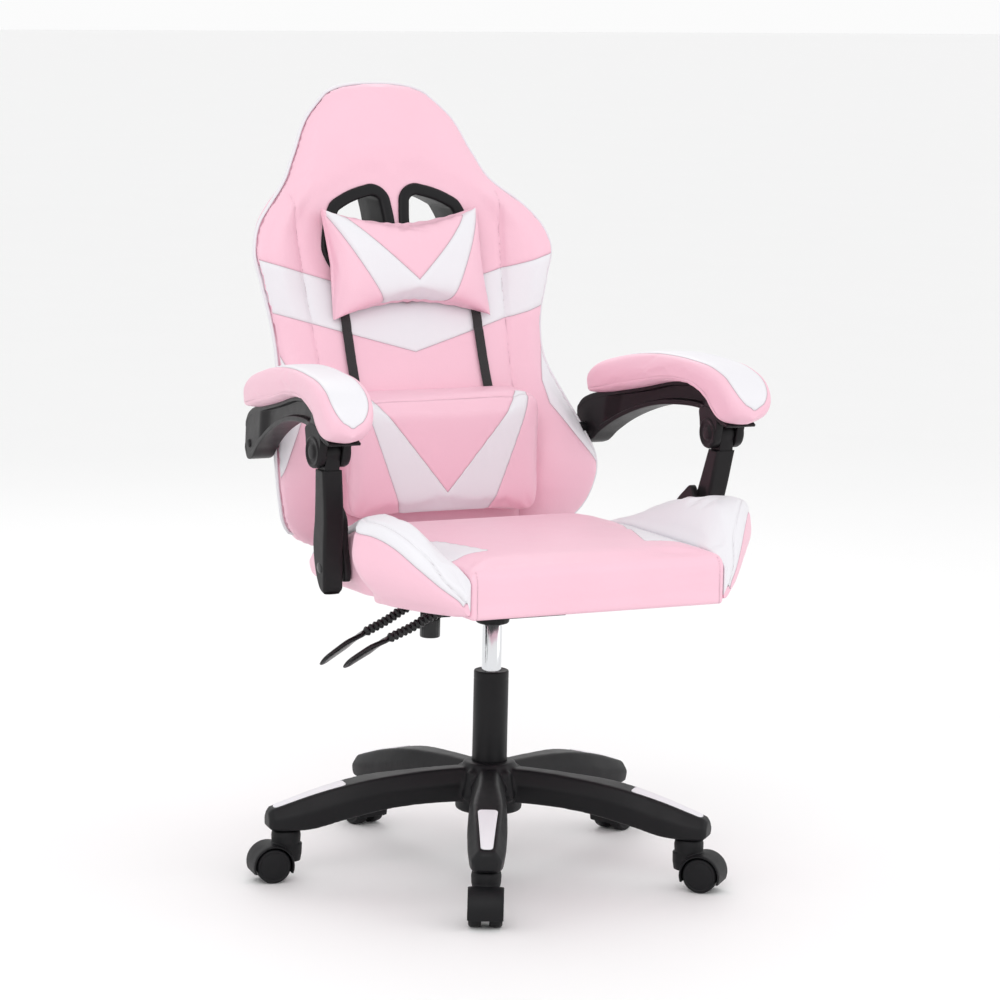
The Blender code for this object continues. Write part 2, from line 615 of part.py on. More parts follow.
# ---- Seat ------------------------------------------------------------------------------------------------
def seat_plate():
    plate = prism(rounded([(-PLATE_HALF, -0.130), (PLATE_HALF, -0.130), (PLATE_HALF, 0.130),
                           (-PLATE_HALF, 0.130)], 0.012), "Z", PLATE_Z, PLATE_Z + PLATE_THICKNESS)
    for side in (-1, 1):
        near = side * (HOUSING_HALF + 2 * RUNNING_GAP)
        far = near + side * EAR_THICKNESS
        ear = prism([(TILT_Y - 0.020, PLATE_Z + 0.001), (TILT_Y - 0.011, TILT_Z - 0.008),
                     (TILT_Y, TILT_Z - 0.012), (TILT_Y + 0.011, TILT_Z - 0.008),
                     (TILT_Y + 0.020, PLATE_Z + 0.001)], "X", min(near, far), max(near, far))
        plate = union(plate, ear)
    return cut(plate, cylinder("X", (TILT_Y, TILT_Z), TILT_PIN_R + RUNNING_GAP, -0.1, 0.1, 14))


def hinge_plate(points, x_middle, thickness, eye, eye_r, hole_r=0.0):
    """A flat plate across X with a round eye, and a hole through the eye if it turns on a pin."""
    low, high = x_middle - thickness / 2, x_middle + thickness / 2
    plate = union(prism(points, "X", low, high), cylinder("X", eye, eye_r, low, high, 16))
    if hole_r:
        plate = cut(plate, cylinder("X", eye, hole_r, low - 0.01, high + 0.01, 14))
    return plate


def upstand_box(margin):
    """The plate on the frame's side that the arm's foot is bolted to, grown by a margin."""
    return box((FRAME_HALF - 0.005 - margin, min(FOOT_BOLT_YS) - 0.012 - margin, FRAME_LOW_Z + 0.002),
               (FRAME_HALF, max(FOOT_BOLT_YS) + 0.012 + margin, FOOT_BOLT_Z + 0.010 + margin))


def frame_top():
    return FRAME_LOW_Z + FRAME_TUBE_HEIGHT


def hinge_slot():
    """The room in the cushion's rear edge for one of the frame's hinge plates."""
    half = BRACKET_THICKNESS / 2 + 2 * RUNNING_GAP
    return box((BRACKET_X - half, FRAME_REAR_Y - 0.010, PLATE_Z), (BRACKET_X + half, SEAT_REAR_Y + 0.010,
                                                                    frame_top() + 2 * GAP))


def seat_frame():
    """A welded ring of tube in the cushion's underside, two rails that stand on the seat plate, the plates
    that the arms' feet are bolted to, and the plates that carry the recline hinges."""
    low, high = FRAME_LOW_Z, frame_top()
    frame = cut(box((-FRAME_HALF, FRAME_FRONT_Y, low), (FRAME_HALF, FRAME_REAR_Y, high)),
                box((-FRAME_HALF + FRAME_TUBE_WIDTH, FRAME_FRONT_Y + FRAME_TUBE_WIDTH, low - 0.01),
                    (FRAME_HALF - FRAME_TUBE_WIDTH, FRAME_REAR_Y - FRAME_TUBE_WIDTH, high + 0.01)))
    upstand = upstand_box(0.0)
    rail = box((RAIL_X - RAIL_HALF, FRAME_FRONT_Y + 0.020, PLATE_Z + PLATE_THICKNESS + GAP),
               (RAIL_X + RAIL_HALF, FRAME_REAR_Y - 0.010, high - GAP))
    plate = hinge_plate([(FRAME_REAR_Y - 0.020, low + GAP), (RECLINE_Y, RECLINE_Z - HINGE_EYE_R + 0.001),
                         (RECLINE_Y - 0.004, RECLINE_Z + HINGE_EYE_R - 0.002),
                         (FRAME_REAR_Y - 0.020, high - GAP)],
                        BRACKET_X, BRACKET_THICKNESS, (RECLINE_Y, RECLINE_Z), HINGE_EYE_R)
    pin_end = back_plate_x() + BRACKET_THICKNESS / 2 + 2 * RUNNING_GAP
    plate = union(plate, cylinder("X", (RECLINE_Y, RECLINE_Z), RECLINE_PIN_R, BRACKET_X, pin_end + 0.001, 12),
                  cylinder("X", (RECLINE_Y, RECLINE_Z), RECLINE_PIN_R + 0.004, pin_end, pin_end + 0.003, 12))
    for piece in (upstand, rail, plate):
        frame = union(frame, piece, mirrored(piece))
    return frame


def back_plate_x():
    return BRACKET_X + BRACKET_THICKNESS + 2 * RUNNING_GAP


# y, underside, top of the middle cushion
SEAT_ROWS = [(SEAT_FRONT_Y, 0.446, 0.484), (SEAT_FRONT_Y + 0.006, 0.438, 0.494),
             (SEAT_FRONT_Y + 0.022, 0.434, 0.500), (-0.200, SEAT_UNDER_Z, SEAT_TOP_Z),
             (-0.100, SEAT_UNDER_Z, SEAT_TOP_Z), (0.000, SEAT_UNDER_Z, 0.500), (0.090, SEAT_UNDER_Z, 0.493),
             (0.145, SEAT_UNDER_Z, 0.484), (SEAT_REAR_Y, SEAT_UNDER_Z + 0.004, 0.474)]
# y, underside, outer edge, top of the wing, its inner top edge, and where its inner face meets the cushion
WING_ROWS = [(WING_FRONT_Y, 0.4380, 0.2040, 0.470, 0.1990, 0.486),
             (-0.300, 0.4340, 0.2220, 0.484, 0.2050, 0.495),
             (-0.270, 0.4320, 0.2480, 0.515, 0.2160, 0.500),
             (-0.240, 0.4310, 0.2720, 0.543, 0.2260, 0.501),
             (-0.215, 0.4310, 0.2900, 0.553, 0.2320, 0.502),
             (-0.192, 0.4310, FLARE_HALF, 0.552, 0.2360, 0.502),
             (-0.178, 0.4320, 0.3020, 0.555, 0.2360, 0.502),
             (WING_SIDE_Y, 0.4320, WING_OUTER_HALF, 0.557, 0.2360, 0.502),
             (-0.100, 0.4330, WING_OUTER_HALF, 0.545, 0.2360, 0.501),
             (-0.030, 0.4320, WING_OUTER_HALF, 0.520, 0.2330, 0.500),
             (0.040, 0.4330, 0.2640, 0.490, 0.2290, 0.488),
             (0.072, 0.4340, 0.2560, 0.470, 0.2260, 0.478),
             (0.105, 0.4360, 0.2320, 0.462, 0.2120, 0.472),
             (0.130, 0.4380, 0.2120, 0.460, 0.2040, 0.466)]


def seat_cushion():
    half, edge, crown = SEAT_HALF - GAP, 0.004, 0.010
    rings = []
    for y, under, top in SEAT_ROWS:
        right = [(half - edge, under), (half, under + edge), (half, top - crown), (half - crown, top)]
        section = right + [(-x, z) for x, z in reversed(right)]
        rings.append([(x, y, z) for x, z in section])
    bolt_room = FOOT_BOLT_R + 3 * GAP
    slot = union(upstand_box(3 * GAP),
                 box((FRAME_HALF - 0.001, min(FOOT_BOLT_YS) - bolt_room, FOOT_BOLT_Z - bolt_room),
                     (half + 0.010, max(FOOT_BOLT_YS) + bolt_room, FOOT_BOLT_Z + bolt_room)))
    recess = box((-FRAME_HALF - 2 * GAP, FRAME_FRONT_Y - 2 * GAP, PLATE_Z),
                 (FRAME_HALF + 2 * GAP, FRAME_REAR_Y + 2 * GAP, frame_top() + GAP))
    hinge = hinge_slot()
    return cut(loft(rings), recess, slot, mirrored(slot), hinge, mirrored(hinge))


def seat_wing():
    inner = SEAT_HALF + GAP
    slope = (WING_UNDER_HALF - WING_CORNER_HALF) / (WING_SIDE_Y - WING_FRONT_Y)
    rings = []
    for y, under, outer, top, inner_top, meeting in WING_ROWS:
        under_half = min(WING_UNDER_HALF, WING_CORNER_HALF + slope * (y - WING_FRONT_Y))
        under_half = min(under_half, outer - 0.003)
        shoulder = min(0.010, 0.3 * (outer - inner_top))
        bulge = WING_BULGE * (outer - under_half) + 0.003
        section = [(inner, under), (under_half, under), (outer + bulge, under + 0.45 * (top - under)),
                   (outer, top - 0.014), (outer - shoulder, top - 0.002),
                   (inner_top + shoulder, top), (inner_top, top - 0.006 if top > meeting + 0.01 else top),
                   (inner, min(meeting, top + 0.016))]
        rings.append([(x, y, z) for x, z in section])
    bores = [cylinder("X", (y, FOOT_BOLT_Z), FOOT_BOLT_R + RUNNING_GAP, inner - 0.01, FLARE_HALF + 0.01, 12)
             for y in FOOT_BOLT_YS]
    return cut(loft(rings), *bores)


def make_seat(chair):
    tilt = empty("tilt_axis", (0.0, TILT_Y, TILT_Z), chair)
    add_at_axis("seat_plate", seat_plate(), "painted_steel", tilt)
    add_at_axis("seat_frame", seat_frame(), "painted_steel", tilt)
    add_at_axis("seat_cushion", seat_cushion(), "pink_leather", tilt)
    wing = seat_wing()
    add_at_axis("seat_wing_right", mirrored(wing), "white_leather", tilt)
    add_at_axis("seat_wing_left", wing, "white_leather", tilt)
    return tilt


# ---- Backrest --------------------------------------------------------------------------------------------
# height, half width, and the front edge of the side wings
BACK_ROWS = [(0.445, 0.200, 0.203), (0.480, 0.236, 0.182), (0.520, 0.252, 0.166), (0.560, 0.257, 0.166),
             (0.600, 0.249, 0.192), (0.650, 0.232, 0.228), (0.700, 0.217, 0.262), (0.760, 0.218, 0.282),
             (0.820, 0.231, 0.290), (0.870, 0.240, 0.297), (0.910, 0.223, 0.317), (0.930, 0.204, 0.330),
             (0.960, 0.170, 0.359), (1.000, 0.146, 0.378), (1.060, 0.112, 0.400), (1.088, 0.084, 0.411),
             (1.102, 0.048, 0.418)]
BACK_FRONT = [(0.445, 0.205), (0.520, 0.205), (0.600, 0.225), (0.700, 0.272), (0.800, 0.3115), (0.970, 0.366),
              (1.102, 0.418)]
BACK_DEPTH = [(0.445, 0.075), (0.930, 0.075), (1.060, 0.047), (1.102, 0.026)]
# One opening on the +X side, as (x, z), counter-clockwise
HOLE_OUTLINE = [(0.012, 0.858), (0.106, 0.834), (0.122, 0.868), (0.101, 0.938), (0.034, 0.962),
                (0.012, 0.946)]


def back_front(z):
    return between(BACK_FRONT, z)


def back_rear(z):
    return back_front(z) + between(BACK_DEPTH, z)


def back_split(z):
    """Where the front cushion ends and the rear panel begins."""
    return back_rear(z) - BACK_PANEL_DEPTH * between(BACK_DEPTH, z) / BACK_DEPTH[0][1]


def back_heights():
    heights = {row[0] for row in BACK_ROWS} | {row[0] for row in BACK_FRONT}
    return sorted(heights)


def hole_outline(grow):
    """The opening's outline, rounded, grown outwards by a distance or shrunk where it is negative."""
    return inset(rounded(HOLE_OUTLINE, 0.016), -grow)


def sheared(outline, depth, reference):
    """An (x, z) outline laid on a leaning surface, at a depth behind it."""
    return [(x, reference(z) + depth, z) for x, z in outline]


def hole_cutter():
    outline = hole_outline(-BEZEL_SLEEVE + RUNNING_GAP)
    return loft([sheared(outline, -0.060, back_front), sheared(outline, 0.150, back_front)])


def frame_path():
    """The centre line of the back frame's tube, one side, from the bottom up, as (x, z)."""
    return [(0.158, 0.475), (0.160, 0.520), (0.163, 0.600), (0.165, 0.700), (0.165, 0.800), (0.158, 0.880),
            (0.152, 0.930), (0.142, 0.965), (0.118, 0.985)]


def frame_ring(width, near, far):
    """A band of a given width along the frame's path, from near to far in front of the split surface."""
    side = frame_path()
    path = side + [(-x, z) for x, z in reversed(side)]
    outer, inner = inset(path, -width / 2), inset(path, width / 2)
    rings = []
    for (outer_x, outer_z), (inner_x, inner_z) in zip(outer, inner):
        outer_split, inner_split = back_split(outer_z), back_split(inner_z)
        rings.append([(outer_x, outer_split - near, outer_z), (inner_x, inner_split - near, inner_z),
                      (inner_x, inner_split - far, inner_z), (outer_x, outer_split - far, outer_z)])
    return loft(rings, closed=True)


def back_frame():
    near, far = BACK_FRAME_INSET, BACK_FRAME_INSET + BACK_FRAME_DEPTH
    frame = frame_ring(BACK_FRAME_WIDTH, near, far)
    x, half = back_plate_x(), BRACKET_THICKNESS / 2
    foot_z = 0.478
    back, front = back_split(foot_z) - near - 0.001, back_split(foot_z) - far + 0.001
    plate = hinge_plate([(RECLINE_Y + 0.004, RECLINE_Z - HINGE_EYE_R + 0.001), (back, foot_z - 0.006),
                         (back, foot_z + 0.010), (front, foot_z + 0.010),
                         (RECLINE_Y - 0.006, RECLINE_Z + HINGE_EYE_R - 0.003)],
                        x, 2 * half, (RECLINE_Y, RECLINE_Z), HINGE_EYE_R, RECLINE_PIN_R + RUNNING_GAP)
    lug = lug_box(0.0)
    return union(frame, plate, mirrored(plate), lug, mirrored(lug))


def plate_slot():
    """The room for one hinge plate in the foot of the cushion and the panel."""
    x, half = back_plate_x(), BRACKET_THICKNESS / 2 + 2 * RUNNING_GAP
    return box((x - half, 0.150, 0.400), (x + half, 0.350, 0.496))


def back_cushion():
    rings = []
    for z in back_heights():
        half, wing = between(BACK_ROWS, z, 1), between(BACK_ROWS, z, 2)
        front, split = back_front(z), back_split(z)
        flat = min(max(0.55 * half, 0.125), half - 0.030) if half > 0.10 else 0.55 * half
        right = [(flat, front), (flat + 0.55 * (half - 0.010 - flat), front + 0.40 * (wing - front)),
                 (half - 0.010, wing), (half, wing + 0.010), (half, split - GAP)]
        section = right + [(-x, y) for x, y in reversed(right)]
        rings.append([(x, y, z) for x, y in section])
    cushion = loft(rings)
    pocket = frame_ring(BACK_FRAME_WIDTH + 2 * POCKET_CLEARANCE, -0.010,
                        BACK_FRAME_INSET + BACK_FRAME_DEPTH + POCKET_CLEARANCE)
    slot, hole = plate_slot(), hole_cutter()
    bore_r = REAR_STUD_R + RUNNING_GAP
    bore = cylinder("X", (REAR_PIVOT_Y, REAR_PIVOT_Z), bore_r, lug_x() - 0.003, ARM_X, 14)
    lug = lug_box(POCKET_CLEARANCE)
    return cut(cushion, pocket, slot, mirrored(slot), hole, mirrored(hole), lug, mirrored(lug),
               bore, mirrored(bore))


def back_panel():
    rings = []
    for z in back_heights():
        half = between(BACK_ROWS, z, 1)
        split, rear = back_split(z) + GAP, back_rear(z)
        soft = 0.35 * (rear - split)
        right = [(half, split), (half, rear - soft - 0.003), (half - 0.010, rear - 0.003), (0.6 * half, rear)]
        section = right + [(-x, y) for x, y in reversed(right)]
        rings.append([(x, y, z) for x, y in section])
    hole, slot = hole_cutter(), plate_slot()
    return cut(loft(rings), hole, mirrored(hole), slot, mirrored(slot))


def bezel():
    """A moulded frame for an opening: a flange on the cushion's face and a sleeve right through the back."""
    through = between(BACK_DEPTH, 0.9) + 0.002
    # distance inside the outline, depth behind the cushion's face
    section = [(BEZEL_SLEEVE + BEZEL_WALL, -BEZEL_LIP), (0.0, -BEZEL_LIP), (-0.001, -0.0015), (-0.001, -GAP),
               (BEZEL_SLEEVE, -GAP), (BEZEL_SLEEVE, through), (BEZEL_SLEEVE + BEZEL_WALL, through)]
    rings = [sheared(hole_outline(-distance), depth, back_front) for distance, depth in section]
    return loft(rings, closed=True)


def strap():
    """A flat strap on the cushion's face, from the opening's lower tip down behind the lumbar pillow."""
    heights = [0.610, 0.650, 0.700, 0.760, 0.800, 0.826]
    rings = []
    for z in heights:
        near, far = back_front(z) - GAP * 2, back_front(z) - GAP * 2 - STRAP_THICKNESS
        x0, x1 = STRAP_X - STRAP_WIDTH / 2, STRAP_X + STRAP_WIDTH / 2
        rings.append([(x0, near, z), (x1, near, z), (x1, far, z), (x0, far, z)])
    return loft(rings)


def lumbar_pillow():
    """A block of foam with soft edges that fills the room in front of the leaning cushion."""
    rows = [(LUMBAR_BOTTOM_Z, 0.012, 0.020), (LUMBAR_BOTTOM_Z + 0.006, 0.003, 0.006), (0.520, 0.0, 0.0),
            (0.600, 0.0, 0.0), (0.645, 0.0, 0.002), (LUMBAR_TOP_Z - 0.006, 0.005, 0.010),
            (LUMBAR_TOP_Z, 0.016, 0.022)]
    rings = []
    for z, narrow, thin in rows:
        half = LUMBAR_HALF - narrow
        rear = back_front(z) - PILLOW_CLEARANCE - 0.3 * thin
        front = LUMBAR_FRONT_Y + thin
        edge = 0.35 * (rear - front)
        right = [(half - 0.012, front), (half, front + min(edge, 0.012)), (half, rear - min(edge, 0.010)),
                 (half - 0.010, rear)]
        section = right + [(-x, y) for x, y in reversed(right)]
        rings.append([(x, y, z) for x, y in section])
    return loft(rings)


# z, half width, swell of the front face
HEAD_ROWS = [(0.772, 0.112, 0.40), (0.790, 0.124, 0.75), (0.820, 0.121, 0.95), (0.855, 0.119, 1.00),
             (0.890, 0.121, 0.92), (0.915, 0.124, 0.70), (0.932, 0.113, 0.36)]


def head_pillow():
    rings = []
    for z, half, swell in HEAD_ROWS:
        rear = back_front(z) - BEZEL_LIP - STRAP_THICKNESS - 0.0015
        front = rear - HEAD_PILLOW_DEPTH * swell
        right = [(0.55 * half, front), (half - 0.012, front + 0.30 * (rear - front)), (half, rear - 0.006),
                 (half - 0.006, rear)]
        section = right + [(-x, y) for x, y in reversed(right)]
        rings.append([(x, y, z) for x, y in section])
    return loft(rings)


def head_band():
    """An elastic loop round the bar between the openings, which holds the head pillow's back."""
    half = BAND_HALF
    near = -BEZEL_LIP - GAP * 2
    far = between(BACK_DEPTH, BAND_Z) + 0.002 + GAP * 2
    low, high = BAND_Z - BAND_HEIGHT / 2, BAND_Z + BAND_HEIGHT / 2
    rings = []
    for grow in (0.0, STRAP_THICKNESS):
        corners = [(-half - grow, near - grow), (half + grow, near - grow), (half + grow, far + grow),
                   (-half - grow, far + grow)]
        for z in ((low, high) if grow == 0.0 else (high, low)):
            rings.append([(x, back_front(z) + depth, z) for x, depth in corners])
    return loft(rings, closed=True)


def lug_x():
    """Outer face of the back frame's upright, where the lug for the rear pivot stands."""
    return between([(z, x) for x, z in frame_path()], REAR_PIVOT_Z) + BACK_FRAME_WIDTH / 2


def lug_box(margin):
    """The lug from the back frame's upright forward to the rear pivot, grown by a margin."""
    x = lug_x()
    return box((x - 0.006 - margin, REAR_PIVOT_Y - 0.010 - margin, REAR_PIVOT_Z - 0.010 - margin),
               (x + margin, back_split(REAR_PIVOT_Z) - BACK_FRAME_INSET - 0.002,
                REAR_PIVOT_Z + 0.010 + margin))


def rear_stud():
    """The shoulder bolt that joins the back frame's lug to the rear end of an arm."""
    face = ARM_X - ARM_REAR_WIDTH / 2 - arm_shift(REAR_PIVOT_Y)
    eye = (REAR_PIVOT_Y, REAR_PIVOT_Z)
    shoulder_r = REAR_STUD_R + 0.003
    shoulder_start = between(BACK_ROWS, REAR_PIVOT_Z - shoulder_r - 0.002, 1) + 2 * GAP
    shoulder_end = face - ARM_TOE_IN * (shoulder_r + 2 * REAR_STUD_CLEARANCE) - 2 * GAP
    return union(cylinder("X", eye, REAR_STUD_R, lug_x() + 2 * GAP, face + 0.014, 12),
                 cylinder("X", eye, shoulder_r, shoulder_start, shoulder_end, 14))


def make_back(chair):
    recline = empty("recline_axis", (0.0, RECLINE_Y, RECLINE_Z), chair)
    add_at_axis("back_frame", back_frame(), "painted_steel", recline)
    add_at_axis("back_cushion", back_cushion(), "pink_leather", recline)
    add_at_axis("back_panel", back_panel(), "pink_leather", recline)
    add_at_axis("lumbar_pillow", lumbar_pillow(), "pink_leather", recline)
    add_at_axis("head_pillow", head_pillow(), "pink_leather", recline)
    add_at_axis("head_band", head_band(), "webbing", recline)
    for name, shape, material in (("hole_bezel", bezel(), "black_plastic"),
                                  ("lumbar_strap", strap(), "webbing"),
                                  ("rear_stud", rear_stud(), "bare_steel")):
        add_at_axis(f"{name}_right", mirrored(shape), material, recline)
        add_at_axis(f"{name}_left", shape, material, recline)


# ---- Armrests --------------------------------------------------------------------------------------------
# The arm pad's underside and top, front to rear, as (y, z)
PAD_UNDER = [(-0.195, 0.6700), (-0.152, 0.6750), (-0.130, 0.6860), (-0.108, 0.7010), (-0.064, 0.7085),
             (-0.019, 0.7030), (0.068, 0.6830), (0.165, 0.6635), (0.202, 0.6570)]
PAD_TOP = [(-0.214, 0.6950), (-0.192, 0.7170), (-0.136, 0.7320), (-0.068, 0.7390), (0.020, 0.7350),
           (0.112, 0.7190), (0.182, 0.6970), (0.209, 0.6790)]
# The arm's underside: the part behind the kink, from the rear, and the part in front of it
ARM_UNDER_REAR = [(0.217, 0.5790), (0.200, 0.5820), (0.176, 0.6010), (0.145, 0.6190), (0.099, 0.6390),
                  (0.043, 0.6560), (-0.012, 0.6620), (-0.055, 0.6600)]
ARM_UNDER_FRONT = [(-0.070, 0.6560), (-0.084, 0.6450), (-0.122, 0.6420), (-0.150, 0.6620)]
ARM_REAR_END = [(0.2290, 0.5890), (0.2310, 0.6240), (0.2050, 0.6540)]


def arm_shift(y):
    """How far the arm has come in at a place along it."""
    return ARM_TOE_IN * max(0.0, y - ARM_KINK_Y)


def toed_in(mesh):
    """The mesh sheared inwards behind the kink."""
    for vertex in mesh.vertices:
        vertex.co.x -= arm_shift(vertex.co.y)
    return mesh


def post_shift(z):
    """How far the post has come in at a height."""
    return POST_LEAN * max(0.0, ARM_HINGE_Z - ARM_DISC_R - z)


def arm_foot():
    """The bracket bolted through the seat's side wing, with the pin of the post's lower pivot."""
    near, far = FOOT_PLATE_X - FOOT_PLATE_THICKNESS / 2, FOOT_PLATE_X + FOOT_PLATE_THICKNESS / 2
    low_z = 0.448
    plate = prism([(-0.110, low_z), (-0.060, low_z), (-0.024, 0.470), (-0.022, 0.515), (-0.062, 0.560),
                   (-0.088, 0.592), (-0.105, 0.592), (-0.112, 0.530)], "X", near, far)
    for vertex in plate.vertices:
        vertex.co.x += POST_LEAN * (vertex.co.z - low_z)
    for y in FOOT_BOLT_YS:
        plate = union(plate, cylinder("X", (y, FOOT_BOLT_Z), FOOT_BOLT_R, FRAME_HALF + GAP, near + 0.006, 10))
    end = ARM_X - post_shift(POST_FOOT_Z) + POST_WIDTH / 2 - 0.0005
    return union(plate, cylinder("X", (POST_FOOT_Y, POST_FOOT_Z), REAR_STUD_R, far - 0.002, end, 12))


def arm_post():
    low, high = ARM_X - POST_WIDTH / 2, ARM_X + POST_WIDTH / 2
    foot, hinge = (POST_FOOT_Y, POST_FOOT_Z), (ARM_HINGE_Y, ARM_HINGE_Z)
    clear = ARM_HINGE_Z - ARM_DISC_R - 0.0025
    body = prism([(-0.079, 0.430), (-0.068, 0.430), (-0.060, 0.450), (-0.058, 0.500), (-0.072, 0.540),
                  (-0.091, clear), (-0.119, clear), (-0.108, 0.540), (-0.096, 0.500)], "X", low, high)
    for vertex in body.vertices:
        vertex.co.x -= post_shift(vertex.co.z)
    half = KNUCKLE_WIDTH / 2
    knuckle = union(cylinder("X", hinge, KNUCKLE_R, ARM_X - half, ARM_X + half, 18),
                    prism([(-0.122, clear - 0.010), (-0.095, clear - 0.010), (-0.092, ARM_HINGE_Z - 0.004),
                           (-0.118, ARM_HINGE_Z - 0.004)], "X", ARM_X - half, ARM_X + half))
    post = union(body, knuckle)
    return cut(post, cylinder("X", hinge, ARM_PIN_R + RUNNING_GAP, ARM_X - 0.05, ARM_X + 0.05, 14),
               cylinder("X", foot, REAR_STUD_R + RUNNING_GAP, ARM_X - 0.05, ARM_X + 0.05, 14))


def arm_beam():
    low, high = ARM_X - ARM_WIDTH / 2, ARM_X + ARM_WIDTH / 2
    rear_low, rear_high = ARM_X - ARM_REAR_WIDTH / 2, ARM_X + ARM_REAR_WIDTH / 2
    hinge = (ARM_HINGE_Y, ARM_HINGE_Z)
    top = [(y, z - GAP * 2) for y, z in PAD_UNDER]
    kink_top = (ARM_KINK_Y, between(top, ARM_KINK_Y))
    step_z = kink_top[1] - 0.002
    front = prism(ARM_UNDER_FRONT + [point for point in top if -0.16 < point[0] < ARM_KINK_Y - 0.01]
                  + [(ARM_KINK_Y - 0.002, step_z), (ARM_KINK_Y + 0.004, step_z)], "X", low, high)
    rear_top = [kink_top] + [point for point in top if point[0] > ARM_KINK_Y]
    rear_outline = ARM_UNDER_REAR + [(ARM_KINK_Y, 0.657)] + rear_top[:-1] + ARM_REAR_END[::-1]
    rear = toed_in(prism(rear_outline, "X", rear_low, rear_high))
    beam = union(front, rear, cylinder("X", hinge, ARM_DISC_R, low, high, 20))
    half = KNUCKLE_WIDTH / 2 + RUNNING_GAP
    stud_room = REAR_STUD_R + REAR_STUD_CLEARANCE
    wall = 0.006
    channel = toed_in(prism([(0.148, 0.560), (0.148, 0.650), (0.090, 0.668), (0.000, 0.688), (-0.045, 0.695),
                             (-0.062, 0.692), (-0.062, 0.560)], "X", rear_low + wall, rear_high - wall))
    face = rear_low - arm_shift(REAR_PIVOT_Y)
    return cut(beam, cylinder("X", hinge, ARM_DISC_R + 0.0015, ARM_X - half, ARM_X + half, 24),
               cylinder("X", hinge, ARM_PIN_R + RUNNING_GAP, low - 0.01, high + 0.01, 14),
               cylinder("X", (REAR_PIVOT_Y, REAR_PIVOT_Z), stud_room, face - 0.01, face + 0.017, 18), channel)


def arm_pad():
    """The soft pad, lofted from front to rear with a crowned top."""
    stations = [-0.212, -0.198, -0.175, -0.152, -0.130, -0.108, -0.064, -0.019, 0.025, 0.068, 0.120, 0.165,
                0.190, 0.206]
    under = [(PAD_TOP[0][0], PAD_TOP[0][1] - 0.006)] + PAD_UNDER + [(PAD_TOP[-1][0], PAD_TOP[-1][1] - 0.010)]
    rings = []
    for y in stations:
        low, high = between(under, y), between(PAD_TOP, y)
        taper = min(1.0, 0.72 + 7.0 * min(y - stations[0], stations[-1] - y))
        half = PAD_HALF * taper
        depth = high - low
        right = [(half - 0.010, low), (half, low + 0.30 * depth), (half - 0.003, low + 0.70 * depth),
                 (half - 0.014, high)]
        section = right + [(-x, z) for x, z in reversed(right)]
        middle = ARM_X - PAD_INSET - PAD_TOE_IN * (y - ARM_HINGE_Y)
        rings.append([(middle + x, y, z) for x, z in section])
    return loft(rings)


def hinge_pin():
    reach = ARM_WIDTH / 2 + 2 * GAP
    eye = (ARM_HINGE_Y, ARM_HINGE_Z)
    return union(cylinder("X", eye, ARM_PIN_R, ARM_X - reach, ARM_X + reach, 12),
                 cylinder("X", eye, ARM_PIN_R + 0.004, ARM_X + reach, ARM_X + reach + 0.002, 12),
                 cylinder("X", eye, ARM_PIN_R + 0.004, ARM_X - reach - 0.002, ARM_X - reach, 12))


def make_arms(chair, tilt):
    foot, post, beam, pad, pin = arm_foot(), arm_post(), arm_beam(), arm_pad(), hinge_pin()
    for side, sign in (("right", -1), ("left", 1)):
        pick = mirrored if sign < 0 else (lambda mesh: mesh)
        post_axis = empty(f"arm_post_axis_{side}", (sign * ARM_X, POST_FOOT_Y, POST_FOOT_Z), chair)
        arm_axis = empty(f"arm_axis_{side}", (sign * ARM_X, ARM_HINGE_Y, ARM_HINGE_Z), chair)
        add_at_axis(f"arm_foot_{side}", pick(foot), "black_plastic", tilt)
        add_at_axis(f"arm_post_{side}", pick(post), "black_plastic", post_axis)
        add_at_axis(f"arm_beam_{side}", pick(beam), "black_plastic", arm_axis)
        add_at_axis(f"arm_pad_{side}", pick(pad), "pad_leather", arm_axis)
        add_at_axis(f"arm_pin_{side}", pick(pin), "bare_steel", arm_axis, smooth=True)


def main():
    for item in list(bpy.data.objects):
        bpy.data.objects.remove(item)
    make_materials()
    chair = empty("chair", (0.0, SWIVEL_Y, 0.0))
    make_base(chair)
    make_casters(chair)
    make_gas_lift(chair)
    make_mechanism(chair)
    make_levers(chair)
    tilt = make_seat(chair)
    make_back(chair)
    make_arms(chair, tilt)


main()
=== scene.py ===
import json
import math

import bmesh
import bpy
import numpy as np
from mathutils import Matrix, Vector

